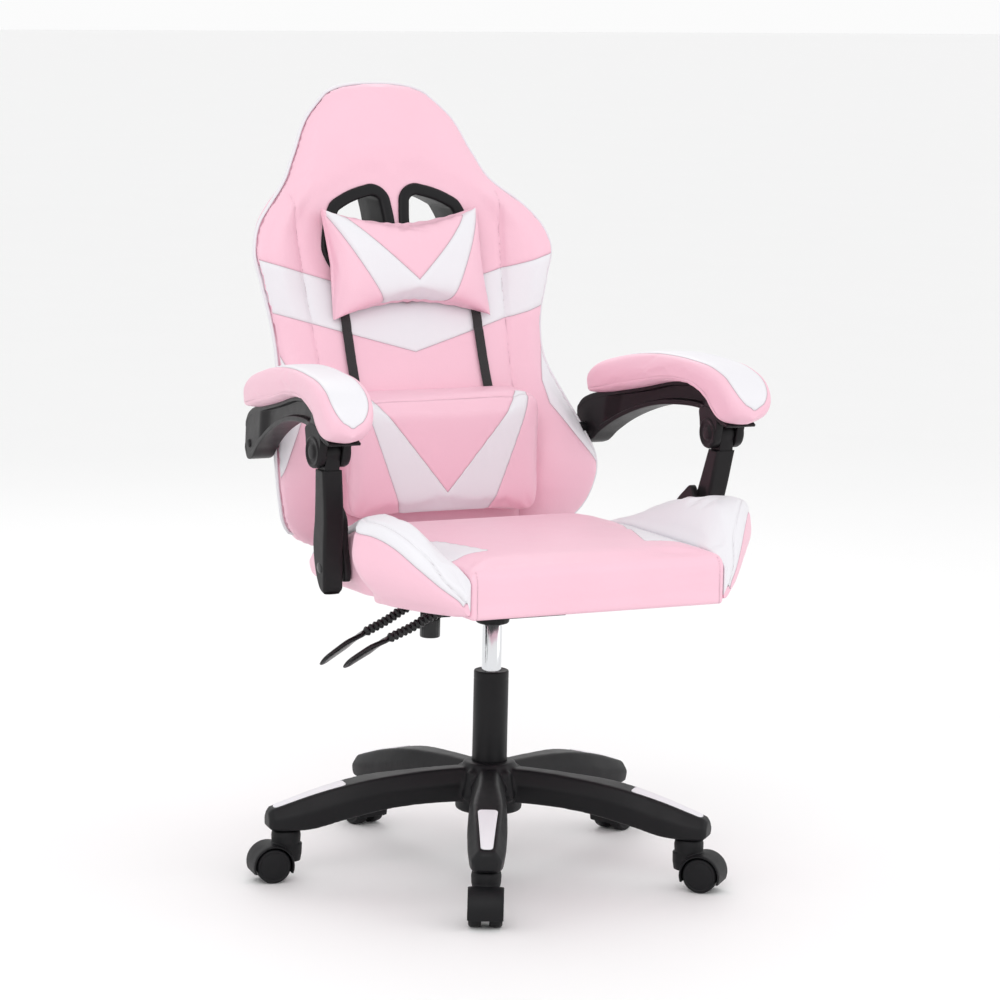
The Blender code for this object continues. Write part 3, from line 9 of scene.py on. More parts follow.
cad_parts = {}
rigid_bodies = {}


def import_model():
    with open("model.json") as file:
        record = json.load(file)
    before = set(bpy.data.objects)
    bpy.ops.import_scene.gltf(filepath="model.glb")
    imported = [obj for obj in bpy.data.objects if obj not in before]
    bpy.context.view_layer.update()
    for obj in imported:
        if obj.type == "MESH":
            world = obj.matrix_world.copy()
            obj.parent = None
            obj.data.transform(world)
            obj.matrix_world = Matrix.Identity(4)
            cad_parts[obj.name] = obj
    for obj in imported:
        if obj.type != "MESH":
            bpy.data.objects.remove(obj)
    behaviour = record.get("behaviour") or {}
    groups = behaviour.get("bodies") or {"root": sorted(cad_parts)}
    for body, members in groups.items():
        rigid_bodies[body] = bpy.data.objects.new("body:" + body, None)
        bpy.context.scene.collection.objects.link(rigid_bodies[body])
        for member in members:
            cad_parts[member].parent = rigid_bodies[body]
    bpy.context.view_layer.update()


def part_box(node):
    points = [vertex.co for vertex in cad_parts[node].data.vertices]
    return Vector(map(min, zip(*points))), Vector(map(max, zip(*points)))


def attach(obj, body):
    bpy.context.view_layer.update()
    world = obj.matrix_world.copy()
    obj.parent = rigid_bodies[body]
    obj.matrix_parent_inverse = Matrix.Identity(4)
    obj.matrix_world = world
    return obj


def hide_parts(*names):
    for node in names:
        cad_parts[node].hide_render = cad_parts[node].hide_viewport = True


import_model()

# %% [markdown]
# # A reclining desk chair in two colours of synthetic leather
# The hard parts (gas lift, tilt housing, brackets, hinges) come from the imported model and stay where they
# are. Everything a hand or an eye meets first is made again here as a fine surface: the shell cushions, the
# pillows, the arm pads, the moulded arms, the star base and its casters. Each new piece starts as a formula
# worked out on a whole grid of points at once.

tube_low, tube_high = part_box("gas_tube")
AXIS_Y = (tube_low.y + tube_high.y) / 2
SWIVEL = np.array([0.0, AXIS_Y, 0.0])        # every shape below is written with the swivel axis at Y = 0


# %% [markdown]
# ## Curves through a few stations
# A designer gives a seat or a backrest a handful of measured stations. Straight lines between them look
# like a folded card, so every outline here is a cubic curve through its stations. A spline object could do
# this too, but a function can be read at any height, which the seams and the trim need.

# %% Interpolation
def curve(stations, at, column=1):
    """Cubic Hermite curve through (place, value, ...) rows, with central differences for slopes."""
    table = np.asarray(stations, float)
    knots, values = table[:, 0], table[:, column]
    slopes = np.gradient(values, knots)
    at = np.clip(np.asarray(at, float), knots[0], knots[-1])
    i = np.clip(np.searchsorted(knots, at, side="right") - 1, 0, len(knots) - 2)
    step = knots[i + 1] - knots[i]
    t = (at - knots[i]) / step
    return ((2 * t ** 3 - 3 * t ** 2 + 1) * values[i] + (t ** 3 - 2 * t ** 2 + t) * step * slopes[i]
            + (3 * t ** 2 - 2 * t ** 3) * values[i + 1] + (t ** 3 - t ** 2) * step * slopes[i + 1])


def along(points, count, closed=False):
    """Evenly spaced points on a smooth curve through the given points."""
    points = np.asarray(points, float)
    if closed:
        points = np.vstack([points[-2:], points, points[:3]])
    chord = np.concatenate([[0.0], np.cumsum(np.linalg.norm(np.diff(points, axis=0), axis=1))])
    first, last = (chord[2], chord[-3]) if closed else (0.0, chord[-1])
    fine = np.linspace(first, last, 30 * len(points))
    path = np.stack([curve(np.stack([chord, points[:, k]], 1), fine) for k in range(points.shape[1])], 1)
    length = np.concatenate([[0.0], np.cumsum(np.linalg.norm(np.diff(path, axis=0), axis=1))])
    even = np.linspace(0, length[-1], count + 1)[:-1] if closed else np.linspace(0, length[-1], count)
    return np.stack([np.interp(even, length, path[:, k]) for k in range(points.shape[1])], 1)


def step_up(x, low, high):
    """0 below low, 1 above high, and the smooth 3t^2 - 2t^3 between them."""
    t = np.clip((x - low) / (high - low), 0, 1)
    return t * t * (3 - 2 * t)


# %% [markdown]
# ## From a grid of points to a closed skin
# A loft is a stack of rings. With the points in one array, the faces are only index arithmetic: ring i,
# place j joins ring i+1, place j+1. The two open ends are closed by a fan round their middle, so that the
# skin is watertight, and its volume tells whether it has to be turned the right way out.

# %% Skins
def skin(name, rings, closed=False, marks=None):
    """Rings (n, m, 3) to a closed mesh. closed joins the last ring to the first, otherwise each end gets a
    pole. marks are named (n, m) values kept on the points for materials."""
    rings = np.asarray(rings, float)
    n, m = rings.shape[:2]
    i = np.arange(n if closed else n - 1)[:, None]
    j = np.arange(m)[None, :]
    a, b = (i % n) * m + j, (i % n) * m + (j + 1) % m
    c, d = ((i + 1) % n) * m + (j + 1) % m, ((i + 1) % n) * m + j
    quads = np.stack([a, b, c, d], -1).reshape(-1, 4)
    points = rings.reshape(-1, 3)
    faces = quads.tolist()
    if not closed:
        points = np.vstack([points, rings[0].mean(0), rings[-1].mean(0)])
        around = np.arange(m)
        start = np.stack([np.full(m, n * m), (around + 1) % m, around], 1)
        end = np.stack([np.full(m, n * m + 1), (n - 1) * m + around, (n - 1) * m + (around + 1) % m], 1)
        faces += start.tolist() + end.tolist()
    points = points + SWIVEL
    corner = points[quads]
    volume = np.einsum("ij,ij->i", corner[:, 0], np.cross(corner[:, 1], corner[:, 2])).sum() \
        + np.einsum("ij,ij->i", corner[:, 0], np.cross(corner[:, 2], corner[:, 3])).sum()
    if volume < 0:
        faces = [face[::-1] for face in faces]
    mesh = bpy.data.meshes.new(name)
    mesh.from_pydata(points.tolist(), [], faces)
    for mark, values in (marks or {}).items():
        full = np.concatenate([np.broadcast_to(values, (n, m)).reshape(-1), np.zeros(len(points) - n * m)])
        if not closed:
            full[-2], full[-1] = np.mean(full[:m]), np.mean(full[(n - 1) * m:n * m])
        mesh.attributes.new(mark, "FLOAT", "POINT").data.foreach_set("value", full.astype(np.float32))
    mesh.validate()
    mesh.shade_smooth()
    piece = bpy.data.objects.new(name, mesh)
    bpy.context.scene.collection.objects.link(piece)
    return piece


def tube(name, path, radius, sides=10, up=(0.0, 0.0, 1.0)):
    """A circle carried along a path; up sets where its first point lies."""
    path = np.asarray(path, float)
    run = np.gradient(path, axis=0)
    run /= np.linalg.norm(run, axis=1)[:, None]
    side = np.cross(run, np.broadcast_to(np.asarray(up, float), run.shape))
    side /= np.maximum(np.linalg.norm(side, axis=1), 1e-9)[:, None]
    rise = np.cross(side, run)
    angle = np.linspace(0, 2 * np.pi, sides, endpoint=False)
    rings = path[:, None] + radius * (np.cos(angle)[None, :, None] * side[:, None]
                                      + np.sin(angle)[None, :, None] * rise[:, None])
    return skin(name, rings)


def turned(name, profile, centre, axis, sides=48):
    """A profile of (distance along the axis, radius) turned about the axis through the centre."""
    profile = np.asarray(profile, float)
    axis = np.asarray(axis, float) / np.linalg.norm(axis)
    first = np.cross(axis, [0.0, 0.0, 1.0] if abs(axis[2]) < 0.9 else [1.0, 0.0, 0.0])
    first /= np.linalg.norm(first)
    second = np.cross(axis, first)
    angle = np.linspace(0, 2 * np.pi, sides, endpoint=False)
    ring = np.cos(angle)[:, None] * first + np.sin(angle)[:, None] * second
    away, radius = profile[:, 0, None, None], profile[:, 1, None, None]
    rings = np.asarray(centre, float) + away * axis + radius * ring[None]
    return skin(name, rings)


def mirror_rings(rings):
    """The same rings on the other side of the chair."""
    return np.asarray(rings) * np.array([-1.0, 1.0, 1.0])


def read_points(mesh):
    """All of a mesh's points as one array."""
    flat = np.empty(len(mesh.vertices) * 3, np.float32)
    mesh.vertices.foreach_get("co", flat)
    return flat.reshape(-1, 3).astype(float)


def write_points(mesh, points):
    """Puts an array of points back in the mesh."""
    mesh.vertices.foreach_set("co", np.asarray(points, np.float32).reshape(-1))
    mesh.update()


def bake(piece):
    """The piece's modifiers worked out once and kept as its mesh."""
    graph = bpy.context.evaluated_depsgraph_get()
    mesh = bpy.data.meshes.new_from_object(piece.evaluated_get(graph))
    piece.modifiers.clear()
    piece.data = mesh
    return piece


def subdivided(piece):
    """One more round of subdivision, kept in the mesh."""
    step = piece.modifiers.new("finer", "SUBSURF")
    step.levels = step.render_levels = 1
    return bake(piece)


def put(piece, material, body, nodes=()):
    """Gives a finished piece its material, the body it rides on and the CAD nodes it stands for."""
    piece.data.materials.clear()
    piece.data.materials.append(material)
    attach(piece, body)
    if nodes:
        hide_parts(*nodes)
    return piece


# %% [markdown]
# ## Filling a cover with foam
# A sewn cover over foam is tight like a balloon: it swells between its seams and lies flat where it rests.
# Moving points by hand never gets that right, so each cushion's skin is inflated by the cloth solver for
# twenty frames with no gravity. The movement is then limited, so that the cushion keeps the size of its
# cover.

# %% Cloth under pressure
FRAMES = 20           # of the simulation
STIFFNESS = 15.0      # of the cover, so that it stretches little


def inflate(piece, cap, pressure, hold):
    """Runs the solver and moves each point by cap * tanh(distance / cap) * hold(points)."""
    rest = read_points(piece.data)
    cloth = piece.modifiers.new("foam", "CLOTH")
    cloth.settings.quality = 4
    cloth.settings.tension_stiffness = cloth.settings.compression_stiffness = STIFFNESS
    cloth.settings.use_pressure = True
    cloth.settings.uniform_pressure_force = pressure
    cloth.settings.effector_weights.gravity = 0.0
    cloth.point_cache.frame_start, cloth.point_cache.frame_end = 1, FRAMES
    for moment in range(1, FRAMES + 1):
        bpy.context.scene.frame_set(moment)
    graph = bpy.context.evaluated_depsgraph_get()
    swollen = read_points(piece.evaluated_get(graph).data)
    piece.modifiers.clear()
    bpy.context.scene.frame_set(1)
    move = swollen - rest
    far = np.maximum(np.linalg.norm(move, axis=1), 1e-9)
    move *= (cap * np.tanh(far / cap) / far)[:, None]
    move *= hold(rest - SWIVEL)[:, None]
    write_points(piece.data, rest + move)
    print(piece.name, "swelled by up to", round(float(np.linalg.norm(move, axis=1).max()) * 1000, 1), "mm")
    return piece


def press(piece, depth):
    """Moves each point inwards along its normal by depth(points), for seams and dimples."""
    mesh = piece.data
    normals = np.empty(len(mesh.vertices) * 3, np.float32)
    mesh.vertex_normals.foreach_get("vector", normals)
    points = read_points(mesh)
    amount = depth(points - SWIVEL)
    write_points(mesh, points - normals.reshape(-1, 3) * amount[:, None])
    return piece


# %% [markdown]
# ## Finishes
# Synthetic leather is a thin grained film: fine pores, a faint mottling and a broad soft gloss. Each
# cushion keeps two numbers on its points: white, the signed distance to the edge of its white panels, and
# seam, the distance to the nearest other seam. One material reads both, so the colours meet in a sharp sewn
# line, and the same numbers cut the crease and paint shade into it. A painted image could do it too, but
# would blur on the large cushions.

# %% Small node helpers
def new_material(name, colour, roughness, metallic=0.0, coat=0.0, sheen=0.0):
    """A Principled material with its even values set on the shader itself."""
    material = bpy.data.materials.new(name)
    material.use_nodes = True
    shader = material.node_tree.nodes["Principled BSDF"]
    shader.inputs["Base Color"].default_value = (*colour, 1.0)
    shader.inputs["Roughness"].default_value = roughness
    shader.inputs["Metallic"].default_value = metallic
    shader.inputs["Coat Weight"].default_value = coat
    shader.inputs["Coat Roughness"].default_value = 0.25
    shader.inputs["Sheen Weight"].default_value = sheen
    return material, material.node_tree, shader


def maths(tree, kind, a, b=None, clamp=False):
    """A Math node; a and b are sockets or numbers."""
    node = tree.nodes.new("ShaderNodeMath")
    node.operation, node.use_clamp = kind, clamp
    for socket, value in zip(node.inputs, (a, b)):
        if value is None:
            continue
        if isinstance(value, (int, float)):
            socket.default_value = value
        else:
            tree.links.new(value, socket)
    return node.outputs[0]


def object_place(tree):
    """Object coordinates, the same at every pose."""
    return tree.nodes.new("ShaderNodeTexCoord").outputs["Object"]


def mixed(tree, amount, first, second):
    """One colour over another by an amount; each is a socket or three numbers."""
    mix = tree.nodes.new("ShaderNodeMix")
    mix.data_type = "RGBA"
    tree.links.new(amount, mix.inputs["Factor"])
    for name, value in (("A", first), ("B", second)):
        socket = [s for s in mix.inputs if s.name == name and s.type == "RGBA"][0]
        if isinstance(value, tuple):
            socket.default_value = (*value, 1.0)
        else:
            tree.links.new(value, socket)
    return [s for s in mix.outputs if s.type == "RGBA"][0]


def noise(tree, place, scale, detail=2.0, rough=0.5):
    """Noise at a scale per metre."""
    node = tree.nodes.new("ShaderNodeTexNoise")
    node.inputs["Scale"].default_value = scale
    node.inputs["Detail"].default_value = detail
    node.inputs["Roughness"].default_value = rough
    tree.links.new(place, node.inputs["Vector"])
    return node.outputs["Fac"]


def bumped(tree, shader, height, distance, strength=1.0, under=None):
    """A Bump node of a real depth in metres, on top of another one if it is given."""
    bump = tree.nodes.new("ShaderNodeBump")
    bump.inputs["Distance"].default_value = distance
    bump.inputs["Strength"].default_value = strength
    tree.links.new(height, bump.inputs["Height"])
    if under is not None:
        tree.links.new(under, bump.inputs["Normal"])
    tree.links.new(bump.outputs["Normal"], shader.inputs["Normal"])
    return bump.outputs["Normal"]


# %% Leather
PINK = (0.90, 0.550, 0.655)
WHITE = (0.80, 0.79, 0.825)


def leather(name, ground=PINK, other=WHITE):
    """Grained leather whose colour, crease and painted crease shade follow the white and seam marks on the
    points.
    """
    material, tree, shader = new_material(name, ground, 0.44, sheen=0.05)
    place = object_place(tree)
    marks = []
    for mark in ("white", "seam"):
        value = tree.nodes.new("ShaderNodeAttribute")
        value.attribute_name = mark
        marks.append(value.outputs["Fac"])
    edge, seam = maths(tree, "ABSOLUTE", marks[0]), marks[1]
    sharp = maths(tree, "MULTIPLY", maths(tree, "ADD", marks[0], 0.0003), 1600.0, True)
    colour = mixed(tree, sharp, ground, other)
    shaded = mixed(tree, sharp, tuple(0.88 * v for v in ground), tuple(0.93 * v for v in other))
    shade = mixed(tree, maths(tree, "MULTIPLY", noise(tree, place, 9.0, 3.0), 0.5), colour, shaded)
    pores = tree.nodes.new("ShaderNodeTexVoronoi")
    pores.inputs["Scale"].default_value = 620.0
    tree.links.new(place, pores.inputs["Vector"])
    grain = bumped(tree, shader, pores.outputs["Distance"], 0.00022, 0.45)
    grain = bumped(tree, shader, noise(tree, place, 260.0, 4.0, 0.6), 0.0005, 0.20, grain)
    grain = bumped(tree, shader, noise(tree, place, 16.0, 2.0), 0.0045, 0.16, grain)
    nearest = maths(tree, "MINIMUM", edge, seam)
    crease = maths(tree, "POWER", maths(tree, "MULTIPLY", nearest, 450.0, True), 0.5)
    bumped(tree, shader, crease, 0.0020, 0.7, grain)
    # painted shade in the seams: within about 0.8 mm of a seam or panel edge the colour is mixed up to half
    # way towards a dark pink
    seam_shade = maths(tree, "SUBTRACT", 1.0, maths(tree, "MULTIPLY", nearest, 1300.0, True))
    shade = mixed(tree, maths(tree, "MULTIPLY", seam_shade, 0.5), shade, (0.34, 0.17, 0.22))
    tree.links.new(shade, shader.inputs["Base Color"])
    gloss = maths(tree, "ADD", maths(tree, "MULTIPLY", noise(tree, place, 60.0, 3.0), 0.16), 0.37)
    tree.links.new(gloss, shader.inputs["Roughness"])
    return material


def read_mark(piece, mark):
    """One mark of all the points of a piece."""
    values = np.empty(len(piece.data.vertices), np.float32)
    piece.data.attributes[mark].data.foreach_get("value", values)
    return values


def groove(distance, depth, width):
    """A seam's groove: its depth at distance 0, fading as a bell curve."""
    return depth * np.exp(-(distance / width) ** 2)


def marked(piece, white=None, seam=None):
    """Writes the two marks on a finished piece's points, from functions of the points."""
    points = read_points(piece.data) - SWIVEL
    for mark, rule, far in (("white", white, -1.0), ("seam", seam, 1.0)):
        values = np.full(len(points), far) if rule is None else rule(points)
        place = piece.data.attributes.get(mark) or piece.data.attributes.new(mark, "FLOAT", "POINT")
        place.data.foreach_set("value", np.asarray(values, np.float32))
    return piece


def above(points, start, slope):
    """Signed distance over the line z = start + slope * |x|, for points taken as (|x|, z)."""
    return (points[:, 2] - start - slope * np.abs(points[:, 0])) / math.hypot(1.0, slope)


LEATHER = leather("two_tone_leather")
WHITE_LEATHER = leather("white_leather", WHITE, WHITE)


# %% Moulded plastic, metal and webbing
def moulded(name, colour, roughness, grain=0.00018, scale=900.0, coat=0.0):
    """Moulded plastic: a spark-eroded grain that catches the light, and faint handling marks in the gloss."""
    material, tree, shader = new_material(name, colour, roughness, coat=coat)
    shader.inputs["Specular IOR Level"].default_value = 0.22
    place = object_place(tree)
    speckle = bumped(tree, shader, noise(tree, place, scale, 3.0, 0.7), grain, 0.6)
    bumped(tree, shader, noise(tree, place, 28.0, 2.0), 0.0012, 0.12, speckle)
    gloss = maths(tree, "ADD", maths(tree, "MULTIPLY", noise(tree, place, 45.0, 4.0), 0.16), roughness - 0.08)
    tree.links.new(gloss, shader.inputs["Roughness"])
    rubbed = tuple(min(1.0, 1.6 * v + 0.004) for v in colour)
    tint = mixed(tree, maths(tree, "MULTIPLY", noise(tree, place, 14.0, 4.0), 0.5), colour, rubbed)
    tree.links.new(tint, shader.inputs["Base Color"])
    return material


def metal(name, colour, roughness, brushed=(1.0, 1.0, 40.0)):
    """Metal with fine marks, stretched by a Mapping node along the way it was finished."""
    material, tree, shader = new_material(name, colour, roughness, 1.0)
    place = object_place(tree)
    mapping = tree.nodes.new("ShaderNodeMapping")
    mapping.inputs["Scale"].default_value = brushed
    tree.links.new(place, mapping.inputs["Vector"])
    marks = noise(tree, mapping.outputs[0], 60.0, 4.0, 0.7)
    bumped(tree, shader, marks, 0.00006, 0.5)
    tree.links.new(maths(tree, "ADD", maths(tree, "MULTIPLY", marks, 0.14), roughness - 0.05),
                   shader.inputs["Roughness"])
    return material


def woven(name, colour):
    """Elastic webbing: two sine waves of ribs, one across and one along, with painted shade between the ribs
    and painted light on their tops.
    """
    material, tree, shader = new_material(name, colour, 0.8, sheen=0.15)
    place = object_place(tree)
    split = tree.nodes.new("ShaderNodeSeparateXYZ")
    tree.links.new(place, split.inputs[0])
    across = maths(tree, "SINE", maths(tree, "MULTIPLY", split.outputs[0], 4200.0))
    down = maths(tree, "SINE", maths(tree, "MULTIPLY", split.outputs[2], 3000.0))
    ribs = maths(tree, "MULTIPLY", maths(tree, "ADD", maths(tree, "MULTIPLY", across, down), 1.0), 0.5)
    bumped(tree, shader, ribs, 0.0004, 0.8)
    # painted shade and light: half the webbing's colour in the hollows between the ribs, up to 1.8 times it
    # on their tops
    tint = mixed(tree, ribs, tuple(0.5 * v for v in colour), tuple(1.8 * v for v in colour))
    tree.links.new(tint, shader.inputs["Base Color"])
    return material


NYLON = moulded("black_nylon", (0.006, 0.006, 0.007), 0.46)
ARM_PLASTIC = moulded("arm_plastic", (0.007, 0.006, 0.007), 0.40)
WHEEL_PLASTIC = moulded("wheel_plastic", (0.005, 0.005, 0.006), 0.52)
GLOSS_BLACK = moulded("gloss_black", (0.006, 0.006, 0.007), 0.26, 0.00004, coat=0.4)
INSERT_WHITE = moulded("insert_white", (0.78, 0.78, 0.82), 0.34, 0.00006)
POWDER_COAT = moulded("powder_coat", (0.007, 0.007, 0.008), 0.42, 0.00012, 1400.0)
CHROME = metal("chrome", (0.80, 0.81, 0.83), 0.13, (1.0, 1.0, 6.0))
STEEL = metal("plain_steel", (0.50, 0.51, 0.53), 0.36)
WEBBING = woven("webbing", (0.016, 0.015, 0.016))
print("finishes:", len(bpy.data.materials))


# %% [markdown]
# ## The backrest's shell
# The back is one sewn cover over a moulded foam shell: a flat middle, two bolsters that come forward at the
# sides, a narrow neck, and two openings under the headrest. Its outline, its leaning face and the reach of
# the bolsters are four curves over the height. Each ring of the skin is one level cut through it.

# %% The back's curves
BACK_OUTLINE = [(0.445, 0.200), (0.480, 0.236), (0.520, 0.252), (0.560, 0.257), (0.600, 0.249),
                (0.650, 0.232), (0.700, 0.217), (0.760, 0.218), (0.820, 0.231), (0.870, 0.240),
                (0.910, 0.223), (0.930, 0.204), (0.960, 0.170), (1.000, 0.146), (1.060, 0.112),
                (1.088, 0.082)]
BACK_FACE = [(0.445, 0.205), (0.520, 0.205), (0.600, 0.225), (0.700, 0.272), (0.800, 0.3115), (0.970, 0.366),
             (1.102, 0.418)]
BOLSTER_FACE = [(0.445, 0.203), (0.480, 0.182), (0.520, 0.166), (0.560, 0.166), (0.600, 0.192),
                (0.650, 0.228), (0.700, 0.262), (0.760, 0.282), (0.820, 0.290), (0.870, 0.297),
                (0.910, 0.317), (0.930, 0.330), (0.960, 0.359), (1.000, 0.378), (1.060, 0.400),
                (1.102, 0.419)]
BACK_THICKNESS = [(0.445, 0.075), (0.930, 0.075), (1.060, 0.047), (1.102, 0.024)]
PANEL_SHARE = 0.293        # share of the thickness that is the rear panel
CREST = [(0.0820, 1.0880), (0.0640, 1.0960), (0.0400, 1.1010), (0.0150, 1.1028), (0.0030, 1.1030)]


def back_face(z):
    """Y of the flat middle of the back at a height."""
    return np.interp(z, [row[0] for row in BACK_FACE], [row[1] for row in BACK_FACE])


def back_join(z):
    """Y where the front cushion meets the rear panel."""
    return back_face(z) + (1.0 - PANEL_SHARE) * np.interp(z, [row[0] for row in BACK_THICKNESS],
                                                          [row[1] for row in BACK_THICKNESS])


def side_join(z):
    """Y of the seam between the covers at the sides, just behind the front edge of the bolsters."""
    return np.minimum(curve(BOLSTER_FACE, z) + 0.017, back_join(z))


def seam_y(x, z, half):
    """Y where the covers meet: at the bolster's edge on the sides, and deeper towards the middle."""
    return side_join(z) + (back_join(z) - side_join(z)) * step_up(1 - np.abs(x) / half, 0.0, 0.35)


def back_rear(z):
    """Y of the rear panel's outer face."""
    return back_face(z) + np.interp(z, [row[0] for row in BACK_THICKNESS], [row[1] for row in BACK_THICKNESS])


levels = np.linspace(0.4450, 1.0880, 150)
side_line = np.stack([curve(BACK_OUTLINE, levels), levels], 1)
outline = np.vstack([side_line, along([(0.0925, 1.0800)] + CREST, 24)[4:]])
print("back outline:", len(outline), "stations")


def back_rings(front_side):
    """Rings of the front cushion (front_side) or of the rear panel, each at one height."""
    u = np.sin(np.linspace(-0.5, 0.5, 97) * np.pi)
    flat = np.linspace(1, -1, 41)
    rings = []
    for half, z in outline:
        low = step_up(z, 0.445, 0.457)
        half = half - 0.012 * (1 - low)
        if front_side:
            middle = back_face(z)
            seam_x = min(0.152 + 0.055 * (z - 0.650), 0.62 * half + 0.02) if half > 0.05 else 0.8 * half
            seam_x = min(seam_x, half - 0.004)
            x = half * u
            reach = np.clip((np.abs(x) - seam_x) / (half - seam_x), 0, 1)
            bolster = curve(BOLSTER_FACE, z) - middle
            crown = 0.0055 * (1 - step_up(z, 0.755, 0.80)) + 0.006 * step_up(z, 0.975, 1.02)
            crown *= np.clip(1 - (np.abs(x) / seam_x) ** 2, 0, 1)
            y = middle - crown + bolster * (1 - (1 - reach) ** 1.7)
            edge = np.clip((np.abs(x) - (half - 0.016)) / 0.016, 0, 1) if half > 0.03 else np.abs(u)
            y += 0.013 * (1 - np.sqrt(1 - 0.998 * edge ** 2)) * min(1.0, half / 0.05)
            y = np.minimum(y, seam_y(x, z, half) - 0.003)
            rear = seam_y(half * flat, z, half) - 0.0008
            ring = np.stack([np.concatenate([x, half * flat]), np.concatenate([y, rear]),
                             np.full(len(u) + len(flat), z)], 1)
        else:
            x = half * u
            join = seam_y(x, z, half)
            fullness = 2.4 + 1.4 * math.exp(-((z - 0.935) / 0.035) ** 2)
            swell = (1 - 0.9999 * np.abs(u) ** fullness) ** (1 / 1.8)
            y = join + 0.003 + (back_rear(z) - join - 0.002) * swell
            near = seam_y(half * flat, z, half) + 0.0008
            ring = np.stack([np.concatenate([x, half * flat]), np.concatenate([y, near]),
                             np.full(len(u) + len(flat), z)], 1)
        rings.append(ring)
    return np.array(rings)


# %% [markdown]
# ## The two openings
# Each opening is a rounded, leaning loop. The same outline cuts the foam and carries the moulded frame, so
# one function gives the loop's points and the direction that faces out of it.

# %% The opening's outline and cutter
HOLE_CORNERS = [(0.012, 0.858), (0.106, 0.832), (0.124, 0.866), (0.103, 0.931), (0.034, 0.956),
                (0.012, 0.942)]


def hole_loop(grow, side, count=144):
    """The opening's corners rounded by a smooth closed curve, moved outwards by grow; side is 1 or -1."""
    corners = np.asarray(HOLE_CORNERS)
    points = []
    for index, corner in enumerate(corners):
        before, after = corners[index - 1], corners[(index + 1) % len(corners)]
        for other in (before, after):
            away = other - corner
            pull = min(0.45, 0.015 / np.linalg.norm(away))
            points.append(corner + pull * away)
        centre = corner + 0.25 * ((points[-1] - corner) + (points[-2] - corner))
        points.insert(len(points) - 1, centre)
    loop = along(points, count, closed=True)
    run = np.roll(loop, -1, 0) - np.roll(loop, 1, 0)
    out = np.stack([run[:, 1], -run[:, 0]], 1) / np.linalg.norm(run, axis=1)[:, None]
    loop = loop + grow * out
    return loop * np.array([side, 1.0])


def leaning(loop, depth):
    """A loop of (x, z) laid on the back's face, depth behind it."""
    return np.stack([loop[:, 0], back_face(loop[:, 1]) + depth, loop[:, 1]], 1)


def cut_openings(piece):
    """Takes both openings out of a piece with an exact Boolean."""
    for side in (1, -1):
        cutter = skin("cutter", [leaning(hole_loop(-0.0025, side, 96), depth) for depth in (-0.08, 0.16)])
        cut = piece.modifiers.new("opening", "BOOLEAN")
        cut.operation, cut.solver, cut.object = "DIFFERENCE", "EXACT", cutter
        bake(piece)
        bpy.data.objects.remove(cutter)
    return piece


def fused(piece, voxel, smooth=4, factor=0.5):
    """Voxel remesh into one even skin, then a few rounds of smoothing."""
    remesh = piece.modifiers.new("even", "REMESH")
    remesh.mode, remesh.voxel_size = "VOXEL", voxel
    if smooth:
        relax = piece.modifiers.new("relax", "SMOOTH")
        relax.factor, relax.iterations = factor, smooth
    bake(piece)
    piece.data.shade_smooth()
    return piece


def near_opening(points):
    """Distance in the face's plane from the nearer opening's outline."""
    loop = hole_loop(0.0, 1, 72)
    place = np.stack([np.abs(points[:, 0]), points[:, 2]], 1)
    gap = np.sqrt(((place[:, None] - loop[None]) ** 2).sum(-1)).min(1)
    return gap


# %% [markdown]
# ## Sewing the front of the back
# The white parts are a shallow chevron across the shoulders and a crescent on each bolster. A seam runs
# down where the bolsters meet the middle. All are written as distances from lines in the front view.

# %% Panels of the back
def back_white(points):
    """Above zero in the chevron band or in the crescents on the bolsters."""
    ax, z = np.abs(points[:, 0]), points[:, 2]
    band = np.minimum(above(points, 0.7178, 0.2765), -above(points, 0.787, 0.288))
    upper = (ax - (0.197 + 0.365 * (z - 0.672))) / math.hypot(1, 0.365)
    middle = (ax - (0.197 - 0.094 * (z - 0.672))) / math.hypot(1, 0.094)
    lower = (ax - (0.200 - 0.660 * (z - 0.640))) / math.hypot(1, 0.660)
    return np.maximum(band, np.minimum(np.minimum(upper, middle), lower))


def join_at(points):
    """Y of the seam between the covers at each point's place."""
    z = points[:, 2]
    return seam_y(points[:, 0], z, np.maximum(curve(BACK_OUTLINE, z), np.abs(points[:, 0]) + 1e-4))


def back_seam(points):
    """Distance from the seam between the middle and the bolsters, which ends at the neck."""
    ax, z = np.abs(points[:, 0]), points[:, 2]
    line = np.abs(ax - (0.152 + 0.055 * (z - 0.650)))
    return np.maximum(line, np.maximum(z - 0.945, 0))


def front_only(points, rule, far):
    """A rule kept to the cushion's front, away from its flat rear."""
    behind = points[:, 1] > join_at(points) - 0.006
    return np.where(behind, far, rule(points))


# %% Front cushion and rear panel
back_cover = cut_openings(skin("back_cover", back_rings(True)))
fused(back_cover, 0.0052, 3)
inflate(back_cover, 0.005, 2.5,
        lambda p: step_up(near_opening(p), 0.008, 0.045) * (1 - step_up(p[:, 1] - join_at(p), -0.02, -0.006)))
subdivided(back_cover)
press(back_cover, lambda p: groove(back_seam(p), 0.0024, 0.0050) * (p[:, 1] < join_at(p) - 0.008))
press(back_cover, lambda p: groove(back_white(p), 0.0011, 0.0035) * (p[:, 1] < join_at(p) - 0.008))
marked(back_cover, lambda p: front_only(p, back_white, -1.0), lambda p: front_only(p, back_seam, 1.0))
put(back_cover, LEATHER, "backrest", ["back_cushion"])

back_rear_cover = cut_openings(skin("back_rear_cover", back_rings(False)))
fused(back_rear_cover, 0.0060, 3)
subdivided(back_rear_cover)


def rear_white(points):
    """A plain white band across the shoulders at the back, level with the chevron in front."""
    return np.minimum(above(points, 0.748, 0.20), -above(points, 0.800, 0.20))


press(back_rear_cover, lambda p: groove(rear_white(p), 0.0012, 0.004))
marked(back_rear_cover, rear_white)
put(back_rear_cover, LEATHER, "backrest", ["back_panel"])
print("back:", len(back_cover.data.polygons), "faces in front,", len(back_rear_cover.data.polygons), "behind")

